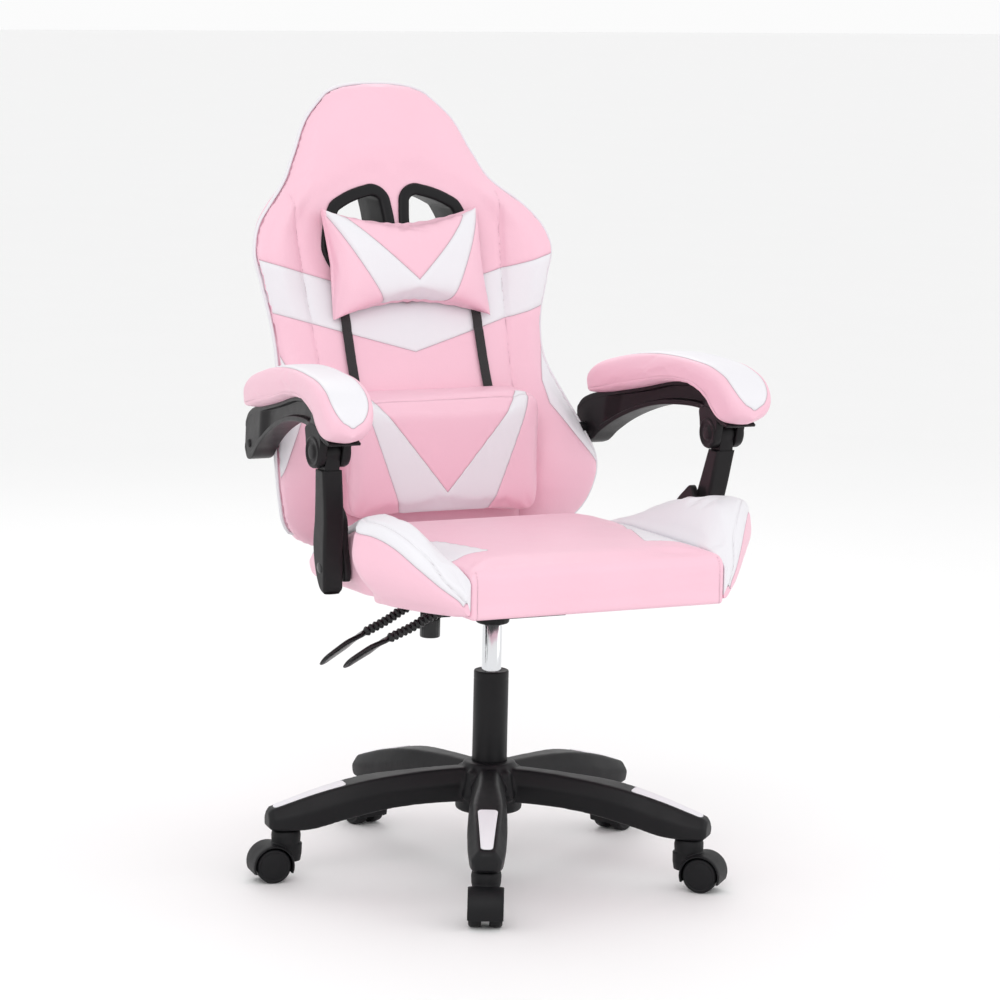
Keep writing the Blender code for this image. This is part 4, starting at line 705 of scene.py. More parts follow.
# %% [markdown]
# ## Piping
# A cord sewn in the seam between the two covers draws the chair's outline in white. It is a round tube
# along the outline, at the depth where the covers meet.

# %% Piping round the back
half_loop = outline[6:]
rim = np.vstack([half_loop, half_loop[::-1][1:] * np.array([-1.0, 1.0])])
rim = along(rim, 420)
rim_path = np.stack([rim[:, 0] * 1.004 + 0.0006 * np.sign(rim[:, 0]), side_join(rim[:, 1]), rim[:, 1]], 1)
rim_path = np.vstack([rim_path[:1] + np.array([-0.014, 0.0, -0.004]), rim_path,
                      rim_path[-1:] + np.array([0.014, 0.0, -0.004])])
piping = tube("back_piping", rim_path, 0.0026, sides=10, up=(0.0, 1.0, 0.0))
marked(piping)
put(piping, WHITE_LEATHER, "backrest")


# %% [markdown]
# ## The steel frame inside
# A bent tube runs inside the foam and carries the hinge plates of the recline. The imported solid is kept,
# drawn in a little at the neck and at the lugs of the arm bolts so that the covers close over it.

# %% Frame inside the back
ARM_BOLT = (0.0, 0.213, 0.602)        # where the arms' rear ends are bolted on, on the middle plane
LUG_HALF = 0.0125
packed = bpy.data.objects["back_frame"]
frame_mesh = packed.data.copy()
frame_mesh.transform(packed.matrix_world)
frame_skin = bpy.data.objects.new("back_frame_skin", frame_mesh)
bpy.context.scene.collection.objects.link(frame_skin)
points = read_points(frame_mesh) - SWIVEL
deepest = back_join(points[:, 2]) - 0.0175
lug = (np.abs(points[:, 2] - ARM_BOLT[2]) < LUG_HALF) & (points[:, 1] < deepest - 0.001)
points[lug, 1] = deepest[lug]
points[:, 0] *= 1 - 0.10 * step_up(points[:, 2], 0.86, 0.93)
write_points(frame_mesh, points + SWIVEL)
put(frame_skin, POWDER_COAT, "backrest", ["back_frame"])
for side, word in ((1, "left"), (-1, "right")):
    bolt = turned(f"arm_bolt_{word}", [(0.232, 0.0050), (0.232, 0.0088), (0.262, 0.0088), (0.263, 0.0060),
                                       (0.2900, 0.0060), (0.2910, 0.0050)], ARM_BOLT, (side, 0, 0), 32)
    put(bolt, POWDER_COAT, "backrest", [f"rear_stud_{word}"])

# %% [markdown]
# ## Moulded frames of the openings
# A nylon frame lines each opening: a flange with soft shoulders on the leather, a chamfer inwards, and a
# sleeve through the foam. Its section is carried round the loop, which is a grid again: place on the loop
# by place on the section.

# %% Frames
def opening_frame(name, side):
    """Section of (outwards, depth) pairs at each place on the loop."""
    section = np.array([(0.0052, 0.0006), (0.0060, -0.0012), (0.0050, -0.0034), (0.0024, -0.0047),
                        (-0.0070, -0.0046), (-0.0096, -0.0036), (-0.0112, -0.0012), (-0.0118, 0.0040),
                        (-0.0118, 0.0400), (-0.0118, 0.0780), (-0.0100, 0.0800), (0.0010, 0.0800),
                        (0.0030, 0.0790), (0.0034, 0.0772), (-0.0060, 0.0766), (-0.0064, 0.0400),
                        (-0.0064, 0.0010), (0.0010, 0.0008)])
    loop, grown = hole_loop(0.0, 1), hole_loop(1.0, 1)
    out = grown - loop
    place = loop[:, None] + section[None, :, 0, None] * out[:, None]
    x, z = place[..., 0], place[..., 1]
    return skin(name, np.stack([side * x, back_face(z) + section[None, :, 1], z], -1), closed=True)


for side, word in ((1, "left"), (-1, "right")):
    lining = opening_frame(f"opening_frame_{word}", side)
    put(lining, NYLON, "backrest", [f"hole_bezel_{word}"])


# %% [markdown]
# ## Straps
# Flat elastic straps come out of the lower tips of the openings and go down behind the lumbar pillow, and a
# band round the bar between the openings holds the head pillow. A strap is thin, so it is modelled directly
# as a ribbon with rounded edges, and its weave is in the material.

# %% Straps and the band
def ribbon(name, path, across, width, thickness):
    """A flat rounded section carried along a path: across is the direction of its width."""
    path = np.asarray(path, float)
    run = np.gradient(path, axis=0)
    run /= np.linalg.norm(run, axis=1)[:, None]
    wide = np.broadcast_to(np.asarray(across, float), run.shape)
    rise = np.cross(run, wide)
    t = np.linspace(0, 2 * np.pi, 20, endpoint=False)
    a = np.sign(np.cos(t)) * np.abs(np.cos(t)) ** 0.25 * width / 2
    b = np.sign(np.sin(t)) * np.abs(np.sin(t)) ** 0.7 * thickness / 2
    return skin(name, path[:, None] + a[None, :, None] * wide[:, None] + b[None, :, None] * rise[:, None])


STRAP_X = 0.107
cover_points = read_points(back_cover.data) - SWIVEL
cover_points = cover_points[np.abs(np.abs(cover_points[:, 0]) - STRAP_X) < 0.0085]


def surface_line(z):
    """Y of the cover under the strap at each height: its foremost point near the strap's line, smoothed."""
    steps = np.linspace(0.600, 0.850, 51)
    foremost = np.array([cover_points[np.abs(cover_points[:, 2] - step) < 0.006, 1].min() for step in steps])
    return np.minimum(np.interp(z, steps, foremost), back_face(z))


for side, word in ((1, "left"), (-1, "right")):
    z = np.linspace(0.612, 0.836, 90)
    lift = 0.0018 + 0.0042 * step_up(z, 0.822, 0.836)
    strap_path = np.stack([np.full_like(z, side * STRAP_X), surface_line(z) - lift, z], 1)
    strap = ribbon(f"strap_{word}", strap_path, (1.0, 0.0, 0.0), 0.0150, 0.0020)
    put(strap, WEBBING, "backrest", [f"lumbar_strap_{word}"])

band_centre = np.array([(0.0, -0.0062), (0.029, -0.0062), (0.0318, -0.0032), (0.0318, 0.040),
                        (0.0318, 0.0765), (0.029, 0.0800), (0.0, 0.0800), (-0.029, 0.0800),
                        (-0.0318, 0.0765), (-0.0318, 0.040), (-0.0318, -0.0032), (-0.029, -0.0062)])
band_loop = along(band_centre, 120, closed=True)
t = np.linspace(0, 2 * np.pi, 20, endpoint=False)
band_z = 0.884 + 0.0105 * np.sign(np.cos(t)) * np.abs(np.cos(t)) ** 0.25
band_out = 0.0009 * np.sign(np.sin(t)) * np.abs(np.sin(t)) ** 0.7
run = np.roll(band_loop, -1, 0) - np.roll(band_loop, 1, 0)
normal = np.stack([run[:, 1], -run[:, 0]], 1) / np.linalg.norm(run, axis=1)[:, None]
place = band_loop[:, None] + band_out[None, :, None] * normal[:, None]
level = np.broadcast_to(band_z, place.shape[:2])
band = skin("head_strap", np.stack([place[..., 0], back_face(level) + place[..., 1], level], -1), closed=True)
put(band, WEBBING, "backrest", ["head_band"])


# %% [markdown]
# ## Pillows
# Both pillows are two sheets sewn round the edge. A point is found by where it is across (s) and up (t)
# from -1 to 1. The edge runs in between the corners, because the filling pulls it in, and the thickness
# grows from the edge like the fourth root of the way in: steep at the seam, then nearly flat.

# %% A sewn pillow
def pillow(name, half, low, high, rear, thickness, waist, flare, power, edge=0.004, counts=(84, 56)):
    """Front and rear sheets over (s, t). half is the half width, low and high the long edges' heights at the
    middle, waist what the corners add to them, rear(z) the flat side's Y, thickness the middle's depth."""
    s = np.sin(np.linspace(-0.5, 0.5, counts[0]) * np.pi)
    t = np.sin(np.linspace(-0.5, 0.5, counts[1]) * np.pi)
    s, t = np.broadcast_to(s[:, None], counts), np.broadcast_to(t[None], counts)
    corner = np.abs(s) ** 1.7 * waist
    z = (high + low) / 2 + t * ((high - low) / 2 + corner)
    x = s * (half + flare * np.abs(t) ** 2.0)
    full = ((1 - np.abs(s) ** power) * (1 - np.abs(t) ** power)) ** 0.5
    back = rear(z) - 0.0010 - 0.10 * thickness * (1 - full)
    front = back - edge - (thickness - edge) * full
    near = np.stack([x, front, z], -1)
    far = np.stack([x, back, z], -1)[:, ::-1]
    return skin(name, np.concatenate([near, far], 1))


def gathers(points, depth, pitch, edge_distance, spread):
    """Small folds that run away from a seam: a wave along X that dies out with the distance from the edge."""
    wave = np.sin(2 * np.pi * points[:, 0] / pitch + 1.7 * np.sin(points[:, 0] * 61.0))
    return wave * groove(edge_distance, depth, spread)


def lumbar_white(points):
    """The V on the lumbar pillow: under its inner line and over its outer one, on the front."""
    inner, outer = -above(points, 0.5253, 1.196), above(points, 0.482 - 2.63 * 0.0665, 2.63)
    return np.where(points[:, 1] > 0.183, -1.0, np.minimum(inner, outer))


def block(name, half, low, high, front_y, rear, round_edge=7.0):
    """A box of foam: a superellipse in each upright cut, whose ends are drawn in by another superellipse."""
    s = np.sin(np.linspace(-0.5, 0.5, 96) * np.pi)
    angle = np.linspace(0, 2 * np.pi, 72, endpoint=False)
    up = np.sign(np.cos(angle)) * np.abs(np.cos(angle)) ** (2 / round_edge)
    ahead = np.sign(np.sin(angle)) * np.abs(np.sin(angle)) ** (2 / round_edge)
    draw = (1 - 0.999 * np.abs(s) ** 16) ** (1 / 9)
    z = (high + low) / 2 + (high - low) / 2 * up[None] * draw[:, None]
    share = (1 + ahead[None] * draw[:, None]) / 2
    x = np.broadcast_to(half * s[:, None], z.shape)
    return skin(name, np.stack([x, front_y + (rear(z) - front_y) * share, z], -1))


lumbar = block("lumbar_cover", 0.1545, 0.4895, 0.6680, 0.1575, lambda z: back_face(z) - 0.0036)
inflate(lumbar, 0.006, 4.0, lambda p: 1 - 0.9 * step_up(p[:, 1], 0.185, 0.215))
subdivided(lumbar)
press(lumbar, lambda p: groove(lumbar_white(p), 0.0012, 0.003) * (p[:, 1] < 0.175))


def lumbar_edge(points):
    """Distance from the seam round the front panel, 9 mm behind the front."""
    return np.abs(points[:, 1] - 0.1700)


press(lumbar, lambda p: groove(lumbar_edge(p), 0.0013, 0.003))
marked(lumbar, lumbar_white, lumbar_edge)
put(lumbar, LEATHER, "backrest", ["lumbar_pillow"])


def head_white(points):
    """The V on the head pillow, with outer lines that lean out."""
    inner, outer = -above(points, 0.826, 0.92), above(points, 0.789 - 1.78 * 0.0515, 1.78)
    return np.where(points[:, 1] > back_face(points[:, 2]) - 0.022, -1.0, np.minimum(inner, outer))


head = pillow("head_pillow_cover", 0.1215, 0.7885, 0.9035, lambda z: back_face(z) - 0.0078, 0.047,
              waist=0.0215, flare=0.0070, power=3.2)
inflate(head, 0.007, 4.0, lambda p: 1 - 0.95 * step_up(p[:, 1] - back_face(p[:, 2]), -0.022, -0.010))
subdivided(head)


def head_edge(points):
    """How far in from the nearer long edge of the head pillow."""
    ax = np.abs(points[:, 0]) / 0.1215
    spread = 0.0575 + 0.0215 * np.minimum(ax, 1) ** 1.7
    return spread - np.abs(points[:, 2] - 0.846)


press(head, lambda p: gathers(p, 0.0006, 0.021, head_edge(p), 0.020) * (p[:, 1] < back_face(p[:, 2]) - 0.012)
      * (1 - step_up(np.abs(p[:, 0]), 0.070, 0.100)))
press(head, lambda p: groove(head_white(p), 0.0014, 0.0035) * (p[:, 1] < back_face(p[:, 2]) - 0.022))
marked(head, head_white, lambda p: np.abs(p[:, 1] - back_face(p[:, 2]) + 0.0118) + 0.0002)
put(head, LEATHER, "backrest", ["head_pillow"])
print("pillows:", len(lumbar.data.polygons), "and", len(head.data.polygons), "faces")

# %% [markdown]
# ## Sections with rounded corners
# Most of the rest is lofted from polygons whose corners are rounded. Doing the rounding on a whole stack of
# polygons at once keeps the same number of points in each ring, so the rings can be joined directly.

# %% Rounded rings and soft ends
def rounded_rings(corners, radius, arc=5, straight=6):
    """Polygons (n, c, 2): each corner becomes a parabola that starts a radius away."""
    corners = np.asarray(corners, float)
    back, ahead = np.roll(corners, 1, 1) - corners, np.roll(corners, -1, 1) - corners
    far_back, far_ahead = np.linalg.norm(back, axis=2), np.linalg.norm(ahead, axis=2)
    radius = np.broadcast_to(radius, far_back.shape)
    start = corners + back / far_back[..., None] * np.minimum(radius, 0.47 * far_back)[..., None]
    end = corners + ahead / far_ahead[..., None] * np.minimum(radius, 0.47 * far_ahead)[..., None]
    t = np.linspace(0, 1, arc + 1)[None, None, :, None]
    arcs = start[:, :, None] * (1 - t) ** 2 + corners[:, :, None] * 2 * t * (1 - t) + end[:, :, None] * t ** 2
    s = np.linspace(0, 1, straight + 1)[1:-1][None, None, :, None]
    sides = end[:, :, None] + (np.roll(start, -1, 1) - end)[:, :, None] * s
    return np.concatenate([arcs, sides], 2).reshape(len(corners), -1, 2)


def capped(rings, out_start=(0, 0, 0), out_end=(0, 0, 0), steps=6):
    """Shrinks both end rings towards their middle in steps, swelling by out * (1 - size^2), for soft ends."""
    rings = np.asarray(rings, float)
    size = np.cos(np.linspace(0, np.pi / 2, steps + 2)[1:-1])[:, None, None]
    ends = []
    for ring, out in ((rings[0], out_start), (rings[-1], out_end)):
        middle = ring.mean(0)
        ends.append(middle + (ring - middle) * size + np.asarray(out, float) * (1 - size ** 2))
    return np.concatenate([ends[0][::-1], rings, ends[1]])


def over_caps(values, steps=6):
    """A grid of marks with its first and last rows repeated for the rings that capped adds."""
    return np.concatenate([np.repeat(values[:1], steps, 0), values, np.repeat(values[-1:], steps, 0)])


def eased(distance, radius):
    """A quarter circle: the radius at distance 0, and nothing from the radius on."""
    t = 1 - np.clip(distance / radius, 0, 1)
    return radius * (1 - np.sqrt(1 - 0.9990 * t ** 2))


def plate(name, outline, low, high, bevel=0.0015, lean=None):
    """A flat moulding across X: a closed (y, z) outline, with bevelled rims; lean(z) moves it along X."""
    outline = np.asarray(outline, float)
    run = np.roll(outline, -1, 0) - np.roll(outline, 1, 0)
    out = np.stack([run[:, 1], -run[:, 0]], 1) / np.linalg.norm(run, axis=1)[:, None]
    if np.cross(outline[1] - outline[0], outline[2] - outline[1]) < 0:
        out = out * np.sign((np.roll(outline, -1, 0)[:, 0] * outline[:, 1]
                             - outline[:, 0] * np.roll(outline, -1, 0)[:, 1]).sum()) * -1.0
    rings = []
    for x, inset in ((low, bevel), (low + 0.4 * bevel, 0.3 * bevel), (low + bevel, 0.0), (high - bevel, 0.0),
                     (high - 0.4 * bevel, 0.3 * bevel), (high, bevel)):
        line = outline - inset * out
        shift = lean(line[:, 1]) if lean else 0.0
        rings.append(np.stack([x + shift + np.zeros(len(line)), line[:, 0], line[:, 1]], 1))
    return skin(name, capped(rings))


# %% [markdown]
# ## The seat
# The middle cushion is a foam block whose front rolls down. The side wings are separate cushions: low at
# the front corners, flared and highest in front of the arm posts, and low again at the rear. Each is a
# stack of upright sections along Y.

# %% Middle cushion
SEAT_TOP = [(-0.322, 0.4995), (-0.280, 0.5018), (-0.200, 0.502), (-0.100, 0.502), (0.000, 0.500),
            (0.090, 0.493), (0.145, 0.484), (0.165, 0.478)]
SEAT_UNDER = [(-0.322, 0.4305), (-0.200, 0.4300), (0.165, 0.4300)]

y = np.unique(np.concatenate([-0.322 + 0.030 * np.linspace(0, 1, 12) ** 2, np.linspace(-0.292, 0.140, 56),
                              0.165 - 0.025 * np.linspace(0, 1, 8) ** 2]).round(5))
near, far = y - y[0], y[-1] - y
half = 0.1935 - eased(near, 0.008) - eased(far, 0.010)
top = curve(SEAT_TOP, y) - eased(near, 0.018) - eased(far, 0.012)
under = curve(SEAT_UNDER, y) + eased(near, 0.006) + eased(far, 0.008)
corners = np.stack([np.stack([half, under], 1), np.stack([half, top], 1), np.stack([-half, top], 1),
                    np.stack([-half, under], 1)], 1)
section = rounded_rings(corners, np.array([0.006, 0.013, 0.013, 0.006]), 6, 26)
rings = np.stack([section[..., 0], np.broadcast_to(y[:, None], section.shape[:2]), section[..., 1]], -1)
seat = skin("seat_cover", capped(rings, (0, -0.0015, 0), (0, 0.001, 0), 9))
inflate(seat, 0.006, 3.0, lambda p: step_up(p[:, 2], 0.436, 0.452)
        * (1 - step_up(np.abs(p[:, 0]), 0.183, 0.1925)) * (1 - 0.7 * step_up(-p[:, 1], 0.300, 0.318))
        * (1 - step_up(p[:, 1], 0.040, 0.130)))
subdivided(seat)


def seat_white(points):
    """The white corner patches of the seat's top, which point forwards and inwards."""
    ax, y = np.abs(points[:, 0]), points[:, 1]
    side = (ax - (0.120 + 0.329 * (y + 0.223))) / math.hypot(1, 0.329)
    front = (y + 0.223 + 0.30 * (ax - 0.120)) / math.hypot(1, 0.30)
    return np.where(points[:, 2] < 0.47, -1.0, np.minimum(side, front))


def seat_seam(points):
    """The upright seams at the front corners of the seat."""
    corner = np.abs(np.abs(points[:, 0]) - 0.1855)
    return np.where((points[:, 1] > -0.312), 1.0, np.maximum(corner, 0.0))


press(seat, lambda p: groove(seat_white(p), 0.0011, 0.0035) * (p[:, 2] > 0.47))
marked(seat, seat_white, seat_seam)
put(seat, LEATHER, "seat", ["seat_cushion"])

# %% Side wings
# y, underside, outer edge, top, its inner top edge, and where the inner face meets the middle cushion
WING_ROWS = [(-0.318, 0.4380, 0.2040, 0.470, 0.1990, 0.486), (-0.300, 0.4340, 0.2220, 0.486, 0.2050, 0.493),
             (-0.270, 0.4320, 0.2480, 0.515, 0.2160, 0.500), (-0.240, 0.4310, 0.2720, 0.541, 0.2260, 0.501),
             (-0.215, 0.4310, 0.2900, 0.553, 0.2320, 0.502), (-0.192, 0.4310, 0.3035, 0.556, 0.2360, 0.502),
             (-0.176, 0.4320, 0.2980, 0.557, 0.2360, 0.502), (-0.158, 0.4320, 0.2590, 0.556, 0.2360, 0.502),
             (-0.100, 0.4330, 0.2570, 0.545, 0.2360, 0.501), (-0.030, 0.4320, 0.2570, 0.520, 0.2330, 0.500),
             (0.040, 0.4330, 0.2620, 0.490, 0.2290, 0.488), (0.072, 0.4340, 0.2540, 0.472, 0.2260, 0.480),
             (0.105, 0.4360, 0.2320, 0.463, 0.2120, 0.472), (0.130, 0.4380, 0.2120, 0.460, 0.2040, 0.466)]


def wing_rings():
    """Sections of the +X wing with the two marks: the white parts, and the crease inside the crest."""
    y = np.concatenate([np.linspace(-0.318, -0.200, 34), np.linspace(-0.197, -0.150, 26),
                        np.linspace(-0.145, 0.130, 44)])
    under, outer, top, inner_top, meeting = (curve(WING_ROWS, y, k) for k in range(1, 6))
    near, far = y - y[0], y[-1] - y
    under_half = np.minimum(np.minimum(0.262, 0.199 + 0.4118 * (y + 0.318)), outer - 0.003)
    shoulder = np.minimum(0.010, 0.3 * (outer - inner_top))
    bulge = 0.10 * (outer - under_half) + 0.002
    inner = np.full_like(y, 0.1943)
    top = top - 0.4 * eased(near, 0.010) - eased(far, 0.008)
    meeting = np.minimum(meeting, top + 0.016)
    crest_in = np.where(top > meeting + 0.01, top - 0.006, top - 0.001)
    corners = np.stack([np.stack(pair, 1) for pair in ((inner, under), (under_half, under),
                                                       (outer + bulge, under + 0.45 * (top - under)),
                                                       (outer, top - 0.014),
                                                       (outer - shoulder, top - 0.002),
                                                       (inner_top + shoulder, top), (inner_top, crest_in),
                                                       (inner, meeting))], 1)
    radius = np.array([0.003, 0.007, 0.040, 0.016, 0.010, 0.010, 0.020, 0.004])
    section = rounded_rings(corners, radius, 7, 7)
    step = np.linalg.norm(np.diff(section, axis=1), axis=2)
    length = np.concatenate([np.zeros((len(y), 1)), np.cumsum(step, 1)], 1)
    per = 14
    edge = length[:, 3 * per + 3] - 0.002
    width = 0.006 + 0.017 * step_up(y, -0.318, -0.262) - 0.008 * step_up(y, 0.020, 0.120)
    white = length - edge[:, None]
    crease = np.abs(white - width[:, None])
    rings = np.stack([section[..., 0], np.broadcast_to(y[:, None], section.shape[:2]), section[..., 1]], -1)
    return rings, white, crease


wing, wing_white, wing_crease = wing_rings()
for side, word in ((1, "left"), (-1, "right")):
    rings = capped(wing if side > 0 else mirror_rings(wing), (0, -0.001, 0), (0, 0.002, 0))
    piece = skin(f"seat_wing_cover_{word}", rings,
                 marks={"white": over_caps(wing_white), "seam": over_caps(wing_crease)})
    inflate(piece, 0.005, 3.0, lambda p: step_up(p[:, 2], 0.436, 0.455)
            * step_up(np.abs(p[:, 0]), 0.197, 0.212) * (1 - 0.85 * step_up(np.abs(p[:, 0]), 0.262, 0.285))
            * (1 - 0.8 * step_up(-p[:, 1], 0.290, 0.315)))
    subdivided(piece)
    edges = [read_mark(piece, mark) for mark in ("white", "seam")]
    press(piece, lambda p: groove(edges[0], 0.0013, 0.0035) + groove(edges[1], 0.0013, 0.0035))
    put(piece, LEATHER, "seat", [f"seat_wing_{word}"])
print("seat:", len(seat.data.polygons), "faces, each wing", len(piece.data.polygons))

# %% [markdown]
# ## Arm pads
# A soft pad sits on each arm and curls down over its front end. Its underside and its top are two curves in
# the side view. Sections stand between them, narrowing to a rounded nose at each end.

# %% Pads
PAD_UNDER = [(-0.160, 0.6530), (-0.146, 0.6600), (-0.132, 0.6740), (-0.118, 0.6880), (-0.098, 0.6985),
             (-0.060, 0.7050), (-0.019, 0.7020), (0.068, 0.6830), (0.165, 0.6635), (0.202, 0.6575)]
PAD_TOP = [(-0.1865, 0.6640), (-0.1880, 0.6850), (-0.1800, 0.7030), (-0.164, 0.7180), (-0.136, 0.7290),
           (-0.068, 0.7365), (0.020, 0.7340), (0.112, 0.7190), (0.182, 0.6975), (0.2085, 0.6800)]
ARM_X = 0.308


def pad_middle(y):
    """X of the pad's middle line, which runs inwards towards the rear."""
    return 0.303 - 0.090 * (y + 0.103)


def arm_pad(name, side):
    """Sections between the two curves; the marks are the white top panel and the seam over the base lip."""
    low, high = along(PAD_UNDER, 90), along(PAD_TOP, 90)
    t = np.linspace(-1, 1, 90)
    half = 0.0395 * (1 - 0.995 * np.abs(t) ** 9) ** (1 / 3.0)
    up = high - low
    depth = np.linalg.norm(up, axis=1)
    v = rounded_rings(np.stack([np.stack([half, 0 * half], 1), np.stack([half, depth], 1),
                                np.stack([-half, depth], 1), np.stack([-half, 0 * half], 1)], 1),
                      np.array([0.007, 0.019, 0.019, 0.007]), 8, 9)
    x, rise = v[..., 0], v[..., 1] / depth[:, None]
    crown = 0.0030 * (1 - (x / half[:, None]) ** 2) * step_up(rise, 0.5, 1.0)
    point = low[:, None] + (rise + crown / depth[:, None])[..., None] * up[:, None]
    rings = np.stack([side * (pad_middle(point[..., 0]) + x), point[..., 0], point[..., 1]], -1)
    far = np.concatenate([[0.0], np.cumsum(np.linalg.norm(np.diff(high, axis=0), axis=1))])
    s, whole = far[:, None], far[-1]
    width = 0.0285 * np.clip(1 - np.clip((s - 0.20) / (whole - 0.012 - 0.20), 0, 1) ** 2.2, 0, 1)
    width = width * np.sqrt(np.clip(1 - np.clip((0.060 - s) / 0.046, 0, 1) ** 2, 0, 1))
    panel = np.where(rise > 0.45, width - np.abs(x), -0.02)
    lip = np.abs(rise - 0.13) * depth[:, None]
    panel = np.where(s < 0.013, np.minimum(panel, s - 0.013), panel)
    return skin(name, capped(rings, (0, -0.0035, -0.001), (0, 0.004, -0.001)),
                marks={"white": over_caps(panel), "seam": over_caps(lip)})


for side, word in ((1, "left"), (-1, "right")):
    pad = arm_pad(f"arm_pad_cover_{word}", side)
    inflate(pad, 0.003, 3.0, lambda p: np.ones(len(p)))
    subdivided(pad)
    edge = read_mark(pad, "white")
    press(pad, lambda p: groove(edge, 0.0009, 0.003))
    put(pad, LEATHER, f"arm_{word}", [f"arm_pad_{word}"])

# %% [markdown]
# ## Arms
# An injection-moulded arm keeps its thickness even by being an I beam: a rim above, a rim below, and a thin
# web between them. The section is an I whose height follows two curves in the side view. A hinge with two
# round cheeks hangs under its front end.

# %% Moulded arms
BEAM_TOP = [(0.2330, 0.6330), (0.2230, 0.6440), (0.2050, 0.6530), (0.1800, 0.6600), (0.1300, 0.6700),
            (0.068, 0.6822), (-0.019, 0.7012), (-0.060, 0.7041), (-0.098, 0.6976), (-0.118, 0.6871),
            (-0.132, 0.6731), (-0.146, 0.6591), (-0.158, 0.6521)]
BEAM_UNDER = [(0.2360, 0.5900), (0.2260, 0.5790), (0.2060, 0.5810), (0.1760, 0.6010), (0.1450, 0.6190),
              (0.0990, 0.6390), (0.0430, 0.6560), (-0.0120, 0.6640), (-0.055, 0.6660), (-0.090, 0.6640),
              (-0.116, 0.6600), (-0.136, 0.6520), (-0.156, 0.6490)]


def arm_shift(y):
    """How far the arm has come in at a place along it."""
    return 0.125 * np.maximum(0.0, y + 0.075)


def arm_beam(name, side):
    """I sections along the arm, from the rear block to the lip under the pad's front."""
    high, low = along(BEAM_TOP, 110), along(BEAM_UNDER, 110)
    up = high - low
    depth = np.linalg.norm(up, axis=1)
    place = (high[:, 0] + low[:, 0]) / 2
    half = 0.0170 + 0.0065 * (1 - step_up(place, -0.115, -0.060))
    open_web = step_up(place, -0.095, -0.060) * (1 - step_up(place, 0.135, 0.165))
    web = half - 0.0085 * open_web - 0.0004
    rim = np.minimum(0.0085, 0.30 * depth)
    v = [(half, 0 * half), (half, rim), (web, rim + 0.0008), (web, depth - rim - 0.0008), (half, depth - rim),
         (half, depth)]
    v = v + [(-a, b) for a, b in v[::-1]]
    section = rounded_rings(np.stack([np.stack(pair, 1) for pair in v], 1),
                            np.array([0.0022, 0.0018, 0.0022, 0.0022, 0.0018, 0.0022] * 2), 3, 3)
    x, rise = section[..., 0], section[..., 1] / depth[:, None]
    point = low[:, None] + rise[..., None] * up[:, None]
    rings = np.stack([side * (ARM_X - arm_shift(point[..., 0]) + x), point[..., 0], point[..., 1]], -1)
    return skin(name, capped(rings, (0, 0.001, 0), (0, -0.001, 0), 4))


def circle_line(centre, radius, count=64):
    """Points of a circle in the side view."""
    angle = np.linspace(0, 2 * np.pi, count, endpoint=False)
    return np.stack([centre[0] + radius * np.cos(angle), centre[1] + radius * np.sin(angle)], 1)


HINGE = (-0.103, 0.635)
CHEEK = along(np.vstack([circle_line(HINGE, 0.0225, 12)[[6, 7, 8, 9, 10, 11, 0]],
                         [(-0.0780, 0.6520), (-0.0760, 0.6660), (-0.0900, 0.6720), (-0.1240, 0.6640),
                          (-0.1290, 0.6500)]]), 72, closed=True)
DISC_STEPS = [(0.0, 0.0215), (0.0012, 0.0212), (0.0016, 0.0200), (0.0016, 0.0175), (0.0004, 0.0168),
              (0.0004, 0.0105), (0.0018, 0.0100), (0.0026, 0.0085), (0.0030, 0.0055), (0.0032, 0.0005)]
for side, word in ((1, "left"), (-1, "right")):
    moulding = arm_beam(f"arm_moulding_{word}", side)
    put(moulding, ARM_PLASTIC, f"arm_{word}", [f"arm_beam_{word}"])
    for face, place in ((1, "outer"), (-1, "inner")):
        low, high = sorted((ARM_X * side + face * 0.0118, ARM_X * side + face * 0.0236))
        put(plate(f"hinge_cheek_{place}_{word}", CHEEK, low, high, 0.0016), ARM_PLASTIC, f"arm_{word}")
        cap = turned(f"hinge_disc_{place}_{word}", [(-0.002, 0.0215)] + DISC_STEPS,
                     (ARM_X * side + face * 0.0234, *HINGE), (face, 0, 0), 64)
        put(cap, ARM_PLASTIC, f"arm_{word}", [f"arm_pin_{word}"] if face > 0 else ())

# %% [markdown]
# ## Posts and their feet
# The post is a flat, slightly bowed strut that widens to a rounded foot. It leans inwards, so its X follows
# its height. The foot behind it is a curved gusset bolted through the seat's side.

# %% Posts
POST_FRONT = [(0.432, -0.080), (0.450, -0.0845), (0.500, -0.096), (0.540, -0.108), (0.6100, -0.1190)]
POST_REAR = [(0.432, -0.068), (0.450, -0.0600), (0.500, -0.0580), (0.540, -0.0720), (0.6100, -0.0910)]


def post_lean(z):
    """How far the post has come in at a height."""
    return 0.12 * np.maximum(0.0, 0.6125 - z)


def post_rings(side):
    """Rounded sections up the post."""
    z = np.linspace(0.432, 0.610, 60)
    front, rear = curve(POST_FRONT, z), curve(POST_REAR, z)
    low = eased(z - z[0], 0.010)
    front, rear = front + low, rear - low
    half = 0.0148 - 0.4 * low
    corners = np.stack([np.stack(pair, 1) for pair in ((half, front), (half, rear), (-half, rear),
                                                       (-half, front))], 1)
    section = rounded_rings(corners, np.array([0.0045, 0.0045, 0.0045, 0.0045]), 5, 8)
    x = ARM_X - post_lean(z)[:, None] + section[..., 0]
    return np.stack([side * x, section[..., 1], np.broadcast_to(z[:, None], x.shape)], -1)


